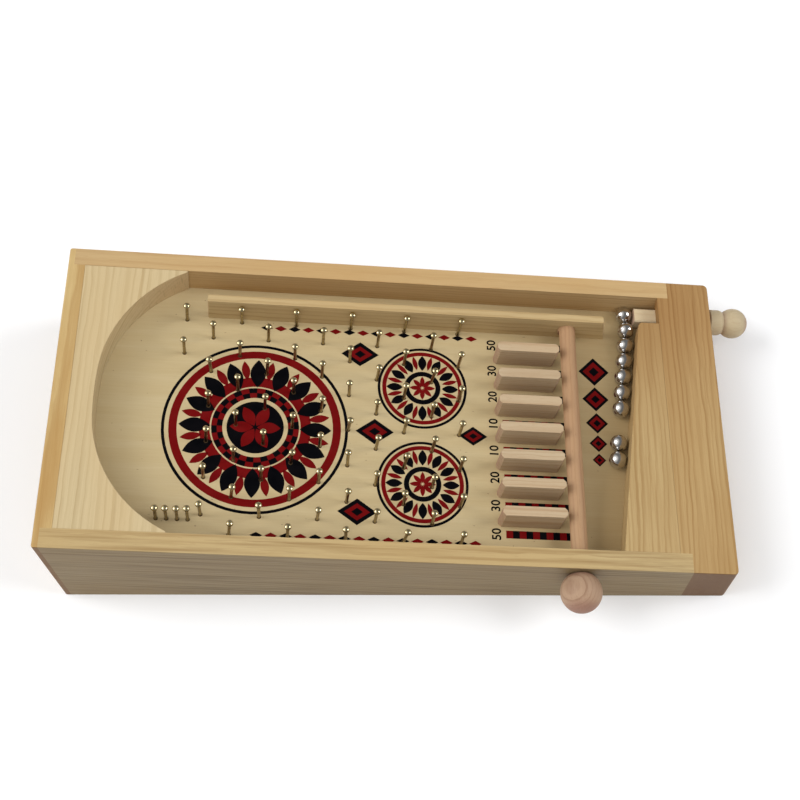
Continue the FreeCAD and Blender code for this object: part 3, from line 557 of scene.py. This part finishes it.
def ease_edges(made, width):
    """Rounds the sharp edges of a piece by a width in millimetres."""
    easing = made.modifiers.new("EasedEdges", "BEVEL")
    easing.width = width * MM
    easing.segments = 2
    easing.limit_method = "ANGLE"
    easing.angle_limit = SHARP_ANGLE
    easing.harden_normals = True


def prism(outline, low, high):
    """Vertices and faces of an outline in the deck frame, between two levels."""
    count = len(outline)
    vertices = [deck(*point, level) for level in (low, high) for point in outline]
    faces = [tuple(reversed(range(count))), tuple(range(count, 2 * count))]
    for index in range(count):
        following = (index + 1) % count
        faces.append((index, following, count + following, count + index))
    return vertices, faces


def merged(parts):
    """Vertices and faces of several shapes as one."""
    vertices = []
    faces = []
    for part_vertices, part_faces in parts:
        start = len(vertices)
        vertices += part_vertices
        faces += [tuple(start + index for index in face) for face in part_faces]
    return vertices, faces


def turned(profile, segments, matrix):
    """A turned solid. The profile is (radius, height) along the local Z of a matrix, in millimetres."""
    vertices = []
    rings = []
    for radius, height in profile:
        count = segments if radius > NEARLY_ZERO else 1
        rings.append(range(len(vertices), len(vertices) + count))
        for step in range(count):
            angle = 2 * math.pi * step / segments
            place = Vector((radius * math.cos(angle), radius * math.sin(angle), height))
            vertices.append(matrix @ (place * MM))
    faces = []
    for lower, upper in zip(rings, rings[1:]):
        for step in range(segments):
            following = (step + 1) % segments
            corners = (
                lower[step % len(lower)],
                lower[following % len(lower)],
                upper[following % len(upper)],
                upper[step % len(upper)],
            )
            faces.append(tuple(dict.fromkeys(corners)))
    return vertices, faces


def arc_points(centre, radius, first, last, steps):
    """Radius and height along an arc whose middle is on the axis; zero degrees points down it."""
    angles = [math.radians(first + (last - first) * step / steps) for step in range(steps + 1)]
    points = [(radius * math.sin(angle), centre - radius * math.cos(angle)) for angle in angles]
    return [(0.0 if across < NEARLY_ZERO else across, height) for across, height in points]


def solids_of(node):
    """The separate solids of a CAD node, each as its lowest and highest corner in the deck frame."""
    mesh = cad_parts[node].data
    parent = {}

    def root(key):
        while parent[key] != key:
            key = parent[key]
        return key

    keys = [tuple(round(x, 6) for x in vertex.co) for vertex in mesh.vertices]
    for key in keys:
        parent[key] = key
    for face in mesh.polygons:
        corners = [root(keys[index]) for index in face.vertices]
        for corner in corners[1:]:
            parent[root(corner)] = root(corners[0])
    groups = {}
    for key in parent:
        groups.setdefault(root(key), []).append(TO_DECK @ Vector(key) / MM)
    solids = []
    for points in groups.values():
        low = Vector(min(point[axis] for point in points) for axis in range(3))
        high = Vector(max(point[axis] for point in points) for axis in range(3))
        solids.append((low, high))
    return sorted(solids, key=lambda corners: tuple(corners[0]))


def aimed(place, direction):
    """A matrix at a place of the deck frame whose local Z points along a direction of it."""
    turn = Vector(direction).to_track_quat("Z", "Y").to_matrix().to_4x4()
    return DECK @ Matrix.Translation(Vector(place) * MM) @ turn


# ---- Timber pieces ---------------------------------------------------------------------------

EDGE_EASING = 0.35
DIVIDER_COUNT = 7
DIVIDER_EASING = 0.25
DIVIDER_CHAMFER = 1.8
TROUGH_CORNER = 3.0
TROUGH_CORNER_STEPS = 8
TROUGH_FAR_DEPTH = 14.3
FLANK_STEPS = 40
CROWN_STEPS = 10
ARCH_CROWN = 14.5
CROWN_RADIUS = 208.0
CROWN_HALF = 16.0
ARCH_OVERRUN = 7.2
ARCH_TIP = 1.0


def arch_outline():
    """The arch from its far tip to its near one: round flanks and a nearly flat middle."""
    turn = math.asin(CROWN_HALF / CROWN_RADIUS)
    flank = (HALF_INSIDE + ARCH_OVERRUN - CROWN_HALF) / (1 - math.sin(turn))
    crown = HEAD_FACE + ARCH_CROWN + CROWN_RADIUS
    centre = crown - (CROWN_RADIUS - flank) * math.cos(turn)
    across = (CROWN_RADIUS - flank) * math.sin(turn)
    reach = math.asin((HALF_INSIDE - ARCH_TIP - across) / flank)
    flank_turns = [reach + (turn - reach) * step / FLANK_STEPS for step in range(FLANK_STEPS)]
    far = [(centre - flank * math.cos(a), across + flank * math.sin(a)) for a in flank_turns]
    crown_turns = [turn - 2 * turn * step / CROWN_STEPS for step in range(CROWN_STEPS + 1)]
    middle = [(crown - CROWN_RADIUS * math.cos(a), CROWN_RADIUS * math.sin(a)) for a in crown_turns]
    near = [(along, -side) for along, side in reversed(far)]
    return far + middle + near


def head_arch_block():
    """The block at the head, hollowed by an arch from rail to rail."""
    arch = arch_outline()
    tips = arch[0][0]
    rear = [(HEAD_FACE, -HALF_INSIDE), (tips, -HALF_INSIDE)]
    front = [(tips, HALF_INSIDE), (HEAD_FACE, HALF_INSIDE)]
    outline = rear + arch[::-1] + front
    vertices, faces = prism(outline, -BOARD_DEPTH, 0.0)
    lean = BOARD_DEPTH * FALL
    for index in (0, len(outline) - 1):
        vertices[index] = deck(outline[index][0] + lean, outline[index][1], -BOARD_DEPTH)
    made = piece(
        "arch_block", vertices, faces, HEAD_BLOCK_WOOD, "case", "block_pine", ["head_arch_block"]
    )
    ease_edges(made, EDGE_EASING)


def trough_block():
    """The wedge at the foot, whose slanted face lets the balls roll to the lane."""
    low, high = solids_of("trough_block")[0]
    near_wall = (low.x, low.y)
    far_wall = (FOOT_FACE - TROUGH_FAR_DEPTH * STRETCH, high.y)
    lean = math.atan2(far_wall[0] - near_wall[0], far_wall[1] - near_wall[1])
    sweep = math.pi / 2 + lean
    back = TROUGH_CORNER * math.tan(sweep / 2)
    centre = (far_wall[0] + back, far_wall[1] - TROUGH_CORNER)
    turns = [math.pi / 2 + sweep * step / TROUGH_CORNER_STEPS for step in range(TROUGH_CORNER_STEPS + 1)]
    rounding = [
        (centre[0] + TROUGH_CORNER * math.cos(a), centre[1] + TROUGH_CORNER * math.sin(a)) for a in turns
    ]
    outline = [near_wall, (FOOT_FACE, low.y), (FOOT_FACE, high.y), *rounding]
    vertices, faces = prism(outline, -BOARD_DEPTH, 0.0)
    for index, (along, across) in enumerate(outline):
        vertices[index] = deck(along + BOARD_DEPTH * FALL, across, -BOARD_DEPTH)
    made = piece(
        "trough_wedge", vertices, faces, TROUGH_BLOCK_WOOD, "case", "block_pine", ["trough_block"]
    )
    ease_edges(made, EDGE_EASING)


def score_dividers():
    """The seven dividers, with chamfered upright edges."""
    for index in range(1, DIVIDER_COUNT + 1):
        node = f"score_divider_{index}"
        low, high = solids_of(node)[0]
        outline = []
        corners = ((low.x, low.y, 1), (high.x, low.y, -1), (high.x, high.y, 1), (low.x, high.y, -1))
        for x, y, turn in corners:
            inward_x = math.copysign(DIVIDER_CHAMFER, (low.x + high.x) / 2 - x)
            inward_y = math.copysign(DIVIDER_CHAMFER, (low.y + high.y) / 2 - y)
            cut = [(x, y + inward_y), (x + inward_x, y)]
            outline += cut[::turn]
        made = piece(
            f"divider_{index}", *prism(outline, low.z, high.z), DIVIDER_WOOD, "case", "divider_beech", [node]
        )
        ease_edges(made, DIVIDER_EASING)


# ---- Pins, balls, spring and knobs -----------------------------------------------------------

PIN_SHANK = 2.0
PIN_HEAD = 4.2
PIN_RIM = 0.35
PIN_DOME = 1.25
PIN_UNDERCUT = 0.25
PIN_EASING = 0.12
PIN_SEGMENTS = 20
PIN_DOME_STEP = 15

# Standard deviation of the lean of the pins, in degrees
PIN_LEAN_SPREAD = 2.0

HOLE_RIM = 1.35
HOLE_CORE = 0.8
HOLE_LAYER = 3
HOLE_STEPS = 16
BALL_SEGMENTS = 56
SPRING_TURNS = 6
SPRING_WIRE_RADIUS = 0.45
SPRING_STEPS_IN_TURN = 28
SPRING_WIRE_STEPS = 10


def pin_profile(length):
    """Foot, shank, underside, rim and dome of a pin of some length."""
    shank = PIN_SHANK / 2
    head = PIN_HEAD / 2
    under = length - PIN_RIM - PIN_DOME
    dome = [
        (head * math.cos(math.radians(angle)), under + PIN_RIM + PIN_DOME * math.sin(math.radians(angle)))
        for angle in range(0, 90, PIN_DOME_STEP)
    ]
    foot = [(0, 0), (shank, 0), (shank, under)]
    underside = [(head - PIN_UNDERCUT, under), (head, under + PIN_EASING)]
    return [*foot, *underside, *dome, (0, length)]


def pin_hole(along, across):
    """The bruised rim of the hole that a pin was driven into."""
    return ring_film((along, across), HOLE_RIM, HOLE_CORE, HOLE_LAYER, HOLE_STEPS)


def brass_pins(dice):
    """The pins of each column, hammered in by hand and so not quite upright."""
    nodes = [name for name in sorted(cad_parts) if name.startswith("pin_")]
    for node in nodes:
        pins = []
        for low, high in solids_of(node):
            foot = ((low.x + high.x) / 2, (low.y + high.y) / 2, -BOARD_DEPTH)
            lean = math.radians(dice.gauss(0, PIN_LEAN_SPREAD))
            heading = dice.uniform(0, 2 * math.pi)
            direction = (
                math.sin(lean) * math.cos(heading),
                math.sin(lean) * math.sin(heading),
                math.cos(lean),
            )
            driven = -BOARD_DEPTH - low.z
            matrix = aimed(foot, direction) @ Matrix.Translation((0, 0, -driven * MM))
            pins.append(turned(pin_profile(high.z - low.z), PIN_SEGMENTS, matrix))
        name = node.replace("pin_", "brass_pins_")
        piece(name, *merged(pins), BRASS, "case", "brass_pin", [node])
        holes = [pin_hole((low.x + high.x) / 2, (low.y + high.y) / 2) for low, high in solids_of(node)]
        piece(node.replace("pin_", "pin_holes_"), *merged(holes), HOLE_STAIN, "case", "printed_board")


def steel_balls(name, node, body):
    """Polished balls at the places of a CAD node."""
    balls = []
    for low, high in solids_of(node):
        radius = (high.z - low.z) / 2
        matrix = aimed((low + high) / 2, (0, 0, 1))
        balls.append(turned(arc_points(0, radius, 0, 180, BALL_SEGMENTS // 2), BALL_SEGMENTS, matrix))
    piece(name, *merged(balls), CHROME, body, "ball_steel", [node])


def plunger_spring():
    """A compression spring, which closes up against the end of its mortise."""
    low, high = solids_of("plunger_spring")[0]
    turns = SPRING_TURNS
    wire = SPRING_WIRE_RADIUS
    radius = (high.z - low.z) / 2 - wire
    steps = SPRING_STEPS_IN_TURN * turns
    around = SPRING_WIRE_STEPS
    middle = ((low.y + high.y) / 2, (low.z + high.z) / 2)
    run = high.x - low.x - 2 * wire
    vertices = []
    for step in range(steps + 1):
        angle = 2 * math.pi * turns * step / steps
        for corner in range(around):
            tilt = 2 * math.pi * corner / around
            reach = radius + wire * math.cos(tilt)
            vertices.append(
                deck(
                    low.x + wire + run * step / steps + wire * math.sin(tilt),
                    middle[0] + reach * math.cos(angle),
                    middle[1] + reach * math.sin(angle),
                )
            )
    faces = [tuple(range(around)), tuple(reversed(range(steps * around, (steps + 1) * around)))]
    for step in range(steps):
        for corner in range(around):
            following = (corner + 1) % around
            first = step * around
            second = first + around
            faces.append((first + corner, second + corner, second + following, first + following))
    made = piece(
        "spring_coil", vertices, faces, SPRING_STEEL, "case", "spring_steel", ["plunger_spring"]
    )
    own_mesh(made)


KNOB_SEGMENTS = 56


def gate_knob():
    """A ball knob with a flat towards the rail, bored for the bar."""
    radius = 12.5
    flat = 10.4
    bore = 5.63
    bottom = -1.6
    rim_easing = 0.35
    bore_easing = 0.3
    rim_round = 2
    ball_steps = 30
    low, high = solids_of("gate_knob")[0]
    centre = ((low.x + high.x) / 2, high.y - flat, (low.z + high.z) / 2)
    rim = 180 - math.degrees(math.acos(flat / radius))
    ball = arc_points(0, radius, 0, rim - rim_round, ball_steps)
    face = [(ball[-1][0] - rim_easing, flat), (bore + bore_easing, flat)]
    hole = [(bore, flat - bore_easing), (bore, bottom), (0, bottom)]
    shape = turned([*ball, *face, *hole], KNOB_SEGMENTS, aimed(centre, (0, 1, 0)))
    piece("knob_of_gate", *shape, GATE_KNOB_WOOD, "gate", "gate_beech", ["gate_knob"])


def plunger_knob():
    """A turned knob: a collar that rounds down to a neck, and a ball."""
    low, high = solids_of("plunger_knob")[0]
    collar = 8.35
    straight = 6.0
    neck = 6.7
    radius = 9.79
    ball_middle = 16.8
    bore = 3.03
    depth = 10.0
    easing = 0.5
    steps = 10
    ball_steps = 28
    start = math.degrees(math.asin(neck / radius))
    ball = arc_points(ball_middle, radius, start, 180, ball_steps)
    run = ball[0][1] - straight
    drop = collar - neck
    round_radius = (run**2 + drop**2) / (2 * drop)
    sweep = math.asin(run / round_radius)
    rounding = [
        (
            collar - round_radius * (1 - math.cos(sweep * step / steps)),
            straight + round_radius * math.sin(sweep * step / steps),
        )
        for step in range(steps)
    ]
    face = [(0, depth), (bore, depth), (bore, 0), (collar - easing, 0), (collar, easing)]
    place = (low.x, (low.y + high.y) / 2, (low.z + high.z) / 2)
    shape = turned([*face, *rounding, *ball], KNOB_SEGMENTS, aimed(place, (1, 0, 0)))
    piece("knob_of_plunger", *shape, PLUNGER_KNOB_WOOD, "plunger", "plunger_birch", ["plunger_knob"])


# ---- The print on the playfield --------------------------------------------------------------

INK_FILM = 0.03
CIRCLE_STEPS = 72
PETAL_STEPS = 12
PETAL_FULLNESS = 0.9
CELL_STEPS = 3
WELD_DISTANCE = 1e-7

# Centres of the roundels along the deck and across it
LARGE_ROUNDEL = (122.0, -9.0)
SMALL_ROUNDELS = ((226.0, 24.0), (226.0, -42.0))

# Each lozenge between the roundels: its place along and across the deck, and half its length
LOZENGES = ((196.0, -8.0, 12.0), (258.0, -8.0, 9.0), (186.0, 46.0, 12.0), (186.0, -62.0, 12.0))

# Half the length and half the width of a lozenge's black, red and black layers, as parts of its size
LOZENGE_LAYERS = ((1.0, 0.72), (0.66, 0.47), (0.30, 0.22))
CHAIN_LAYERS = ((1.0, 1.0), (0.72, 0.72), (0.34, 0.34))

# The border of small lozenges along both sides
BORDER_LINES = (61.5, -79.5)
BORDER_START = 126.0
BORDER_PITCH = 8.8
BORDER_COUNT = 16
BORDER_LOZENGE = (3.9, 2.0)

# The chain of lozenges beyond the gate: half the length of each, from the lane strip on
CHAIN_ALONG = 338.0
CHAIN_START = 52.0
CHAIN_SIZES = (10.0, 8.6, 7.2, 5.8, 4.4)
CHAIN_GAP = 1.2


def round_outline(centre, radius, steps=CIRCLE_STEPS):
    """The corners of a circle."""
    angles = [2 * math.pi * step / steps for step in range(steps)]
    return [(centre[0] + radius * math.cos(a), centre[1] + radius * math.sin(a)) for a in angles]


def film(outline, layer):
    """A closed film of ink over an outline. A higher layer covers a lower one."""
    return prism(outline, -BOARD_DEPTH, -BOARD_DEPTH + INK_FILM * (layer + 1))


def ring_film(centre, outer, inner, layer=0, count=CIRCLE_STEPS):
    """A closed ring of ink."""
    top = -BOARD_DEPTH + INK_FILM * (layer + 1)
    loops = [(outer, -BOARD_DEPTH), (outer, top), (inner, top), (inner, -BOARD_DEPTH)]
    vertices = [deck(*p, level) for radius, level in loops for p in round_outline(centre, radius, count)]
    faces = []
    for loop in range(4):
        for step in range(count):
            following = (step + 1) % count
            first = loop * count
            second = (loop + 1) % 4 * count
            faces.append((first + step, first + following, second + following, second + step))
    return vertices, faces


def petals(centre, count, start, end, width, layer=0, offset=0.0):
    """Leaf shapes round a centre, pointed at both ends."""
    films = []
    for index in range(count):
        heading = 2 * math.pi * (index + offset) / count
        way = (math.cos(heading), math.sin(heading))
        side = (-way[1], way[0])
        edge = [
            (
                start + (end - start) * step / PETAL_STEPS,
                width / 2 * math.sin(math.pi * step / PETAL_STEPS) ** PETAL_FULLNESS,
            )
            for step in range(PETAL_STEPS + 1)
        ]
        outline = edge + [(run, -out) for run, out in reversed(edge[1:-1])]
        places = [
            (centre[0] + way[0] * run + side[0] * out, centre[1] + way[1] * run + side[1] * out)
            for run, out in outline
        ]
        films.append(film(places, layer))
    return films


def ring_cells(centre, outer, inner, count, chosen):
    """Every second cell of a ring cut into equal cells, beginning with the chosen one."""
    films = []
    for index in range(chosen, count, 2):
        angles = [2 * math.pi * (index + part / CELL_STEPS) / count for part in range(CELL_STEPS + 1)]
        rim = [(centre[0] + outer * math.cos(a), centre[1] + outer * math.sin(a)) for a in angles]
        core = [(centre[0] + inner * math.cos(a), centre[1] + inner * math.sin(a)) for a in reversed(angles)]
        films.append(film(rim + core, 0))
    return films


def lozenge(along, across, half_length, half_width, layer=0):
    """A film with four corners, one on each axis."""
    corners = [(1, 0), (0, 1), (-1, 0), (0, -1)]
    return film([(along + half_length * x, across + half_width * y) for x, y in corners], layer)


def large_roundel(centre):
    """Rings, a double wreath of petals, a chequered ring and a six-petalled middle."""
    outer_cells = dict(outer=27.0, inner=23.6, count=32)
    inner_cells = dict(outer=23.6, inner=20.2, count=32)
    black = [ring_film(centre, outer=57.5, inner=55.6)]
    black += petals(centre, count=16, start=27.5, end=47.0, width=9.8, layer=1)
    black += ring_cells(centre, chosen=0, **outer_cells) + ring_cells(centre, chosen=1, **inner_cells)
    black += [film(round_outline(centre, radius=17.6), layer=0)]
    red = [ring_film(centre, outer=53.0, inner=48.0), ring_film(centre, outer=34.5, inner=28.0)]
    red += petals(centre, count=16, start=33.0, end=46.5, width=5.2, offset=0.5)
    red += ring_cells(centre, chosen=1, **outer_cells) + ring_cells(centre, chosen=0, **inner_cells)
    red += petals(centre, count=6, start=1.2, end=15.6, width=7.4, layer=1)
    return black, red


def small_roundel(centre):
    """Rings, a double wreath of petals and an eight-petalled middle."""
    black = [ring_film(centre, outer=28.5, inner=26.8)]
    black += petals(centre, count=12, start=12.4, end=23.0, width=5.4)
    black += [ring_film(centre, outer=11.6, inner=8.4)]
    red = [ring_film(centre, outer=25.6, inner=23.0)]
    red += petals(centre, count=12, start=13.0, end=23.2, width=3.0, offset=0.5)
    red += petals(centre, count=8, start=0.6, end=8.2, width=3.0)
    return black, red


def lozenges():
    """Diamonds between the roundels, a border of small ones, and a chain beyond the gate."""
    black = []
    red = []
    for along, across, size in LOZENGES:
        for layer, (length, width) in enumerate(LOZENGE_LAYERS):
            chosen = (black, red)[layer % 2]
            chosen += [lozenge(along, across, size * length, size * width, layer)]
    for index in range(BORDER_COUNT):
        chosen = (black, red)[index % 2]
        for across in BORDER_LINES:
            chosen += [lozenge(BORDER_START + BORDER_PITCH * index, across, *BORDER_LOZENGE)]
    across = CHAIN_START
    for size in CHAIN_SIZES:
        across -= size
        for layer, (length, width) in enumerate(CHAIN_LAYERS):
            chosen = (black, red)[layer % 2]
            chosen += [lozenge(CHAIN_ALONG, across, size * length, size * width, layer)]
        across -= size + CHAIN_GAP
    return black, red


SCORES = ("50", "30", "20", "10", "10", "20", "30", "50")
SCORE_START = 57.6
SCORE_PITCH = 18.6
SCORE_ALONG = 271.0
SCORE_HEIGHT = 5.8
SCORE_BOLDNESS = 0.020
SCORE_CURVE_STEPS = 6
BAND_START = 277.0
BAND_CELL = 4.15
BAND_CELLS = 10
BAND_WIDTH = 5.0


def score_bands():
    """The red and black band along each channel."""
    inks = ([], [])
    for row in range(len(SCORES)):
        middle = SCORE_START - SCORE_PITCH * row
        for index in range(BAND_CELLS):
            start = BAND_START + BAND_CELL * index
            low, high = middle - BAND_WIDTH / 2, middle + BAND_WIDTH / 2
            outline = [(start, low), (start + BAND_CELL, low), (start + BAND_CELL, high), (start, high)]
            inks[(index + 1) % 2].append(film(outline, 0))
    return inks


def score_numbers():
    """The value of each channel, upright for a player at the foot of the case."""
    parts = []
    for row, text in enumerate(SCORES):
        curve = bpy.data.curves.new("Score", "FONT")
        curve.body = text
        curve.offset = SCORE_BOLDNESS
        curve.resolution_u = SCORE_CURVE_STEPS
        writing = bpy.data.objects.new("Score", curve)
        bpy.context.scene.collection.objects.link(writing)
        seen = writing.evaluated_get(bpy.context.evaluated_depsgraph_get())
        flat = bpy.data.meshes.new_from_object(seen)
        corners = [vertex.co.copy() for vertex in flat.vertices]
        faces = [tuple(face.vertices) for face in flat.polygons]
        bpy.data.objects.remove(writing)
        bpy.data.curves.remove(curve)
        bpy.data.meshes.remove(flat)
        low = [min(corner[axis] for corner in corners) for axis in (0, 1)]
        high = [max(corner[axis] for corner in corners) for axis in (0, 1)]
        scale = SCORE_HEIGHT / (high[1] - low[1])
        middle = SCORE_START - SCORE_PITCH * row
        places = [
            (
                SCORE_ALONG - scale * (corner.y - (low[1] + high[1]) / 2),
                middle + scale * (corner.x - (low[0] + high[0]) / 2),
            )
            for corner in corners
        ]
        parts.append(thickened(places, faces))
    return parts


def thickened(places, faces):
    """A flat mesh in the deck frame as a closed film of ink."""
    shape = bmesh.new()
    corners = [shape.verts.new(deck(*place, -BOARD_DEPTH + INK_FILM)) for place in places]
    for face in faces:
        shape.faces.new([corners[index] for index in face])
    bmesh.ops.remove_doubles(shape, verts=shape.verts, dist=WELD_DISTANCE)
    grown = bmesh.ops.extrude_face_region(shape, geom=list(shape.faces))
    down = deck(0, 0, 0) - deck(0, 0, INK_FILM)
    moved = [item for item in grown["geom"] if isinstance(item, bmesh.types.BMVert)]
    bmesh.ops.translate(shape, vec=down, verts=moved)
    shape.verts.index_update()
    vertices = [vertex.co.copy() for vertex in shape.verts]
    sides = [tuple(vertex.index for vertex in face.verts) for face in shape.faces]
    shape.free()
    return vertices, sides


def playfield_print():
    """Two inks on bare wood: black and dark red."""
    blacks = []
    reds = []
    designs = (
        large_roundel(LARGE_ROUNDEL),
        *(small_roundel(centre) for centre in SMALL_ROUNDELS),
        lozenges(),
        score_bands(),
    )
    for black, red in designs:
        blacks += black
        reds += red
    piece("print_black", *merged(blacks + score_numbers()), BLACK_INK, "case", "printed_board")
    piece("print_red", *merged(reds), RED_INK, "case", "printed_board")


# ---- Studio ----------------------------------------------------------------------------------


HALF_FLOOR = 6.0
PAPER_WAVES = (0.002,) * 3
PAPER_TONES = ((0.92, 0.93, 0.95, 1), (0.94, 0.95, 0.97, 1))


def studio_floor():
    """A broad sheet of white paper under the game."""
    finish = Finish("studio_paper", Roughness=0.9, Specular_IOR_Level=0.1)
    cloud = finish.noise(finish.place(), PAPER_WAVES, 2.0)
    finish.set("Base Color", finish.mix(finish.span(cloud, 0.0, 1.0), *PAPER_TONES))
    corners = [(HALF_FLOOR * x, HALF_FLOOR * y, 0) for x, y in ((-1, -1), (1, -1), (1, 1), (-1, 1))]
    mesh = bpy.data.meshes.new("studio_floor")
    mesh.from_pydata(corners, [], [(0, 1, 2, 3)])
    mesh.materials.append(finish.material)
    floor = bpy.data.objects.new("studio_floor", mesh)
    bpy.context.scene.collection.objects.link(floor)


# Where each window stands, as a direction from the game
KEY_DIRECTION = (-0.76, 0.02, 0.65)
FILL_DIRECTION = (0.76, 0.02, 0.65)
FRONT_DIRECTION = (0.0, -0.60, 0.80)

# The world from its horizon to its ceiling: the height at which each colour is reached, and the colour
HORIZON = (0.02, (0.94, 0.94, 0.94, 1))
WALL = (0.14, (0.55, 0.56, 0.58, 1))
CEILING = (0.34, (0.20, 0.198, 0.195, 1))

# The glow round the key window: its colour, and the cosine of the angle to which it reaches
GLOW_COLOUR = (1.15, 1.13, 1.09, 1)
GLOW_REACH = 0.55

CAMERA_PLACE = (0.009571, -0.357561, 0.796828)
CAMERA_TURN = (26.24994, 0.36794, 0.23804)


def window(name, direction, width, strength, mirrored=True):
    """A distant soft window: its direction, its width in degrees and its strength."""
    lamp = bpy.data.lights.new(name, "SUN")
    lamp.angle = math.radians(width)
    lamp.energy = strength
    made = bpy.data.objects.new(name, lamp)
    made.rotation_euler = Vector(direction).to_track_quat("Z", "Y").to_euler()
    made.visible_glossy = mirrored
    bpy.context.scene.collection.objects.link(made)


def studio_world():
    """A white horizon under a dim ceiling, with a glow round the key window."""
    world = bpy.data.worlds.new("Studio")
    world.use_nodes = True
    nodes = world.node_tree.nodes
    links = world.node_tree.links
    direction = nodes.new("ShaderNodeTexCoord").outputs["Generated"]
    split = nodes.new("ShaderNodeSeparateXYZ")
    links.new(direction, split.inputs["Vector"])
    sky = nodes.new("ShaderNodeValToRGB")
    horizon, ceiling = sky.color_ramp.elements
    horizon.position, horizon.color = HORIZON
    ceiling.position, ceiling.color = CEILING
    wall = sky.color_ramp.elements.new(WALL[0])
    wall.color = WALL[1]
    links.new(split.outputs["Z"], sky.inputs["Fac"])

    nearness = nodes.new("ShaderNodeVectorMath")
    nearness.operation = "DOT_PRODUCT"
    nearness.inputs[1].default_value = Vector(KEY_DIRECTION).normalized()
    links.new(direction, nearness.inputs[0])
    glow = nodes.new("ShaderNodeMapRange")
    glow.interpolation_type = "SMOOTHSTEP"
    glow.inputs["From Min"].default_value = GLOW_REACH
    links.new(nearness.outputs["Value"], glow.inputs["Value"])
    lit = nodes.new("ShaderNodeMix")
    lit.data_type = "RGBA"
    lit.inputs["B"].default_value = GLOW_COLOUR
    links.new(glow.outputs["Result"], lit.inputs["Factor"])
    links.new(sky.outputs["Color"], lit.inputs["A"])
    links.new(lit.outputs["Result"], nodes["Background"].inputs["Color"])
    bpy.context.scene.world = world


def studio_camera():
    """The camera of the photograph, as fitted to six corners of the case."""
    camera = bpy.data.cameras.new("Camera")
    camera.lens = 60.0
    camera.sensor_width = 36.0
    made = bpy.data.objects.new("Camera", camera)
    made.location = CAMERA_PLACE
    made.rotation_euler = [math.radians(angle) for angle in CAMERA_TURN]
    bpy.context.scene.collection.objects.link(made)
    bpy.context.scene.camera = made


# ---- Assembly --------------------------------------------------------------------------------

head_arch_block()
trough_block()
score_dividers()
brass_pins(random.Random(RANDOM_SEED))
steel_balls("steel_ball_of_lane", "lane_ball", "lane_ball")
steel_balls("steel_balls_of_trough", "trough_balls", "trough_balls")
plunger_spring()
gate_knob()
plunger_knob()
playfield_print()

studio_floor()
studio_world()
window("KeyWindow", KEY_DIRECTION, width=34.0, strength=1.26)
window("FillWindow", FILL_DIRECTION, width=30.0, strength=1.30)
window("FrontWindow", FRONT_DIRECTION, width=60.0, strength=1.0, mirrored=False)
studio_camera()
bpy.context.scene.view_settings.view_transform = "Standard"
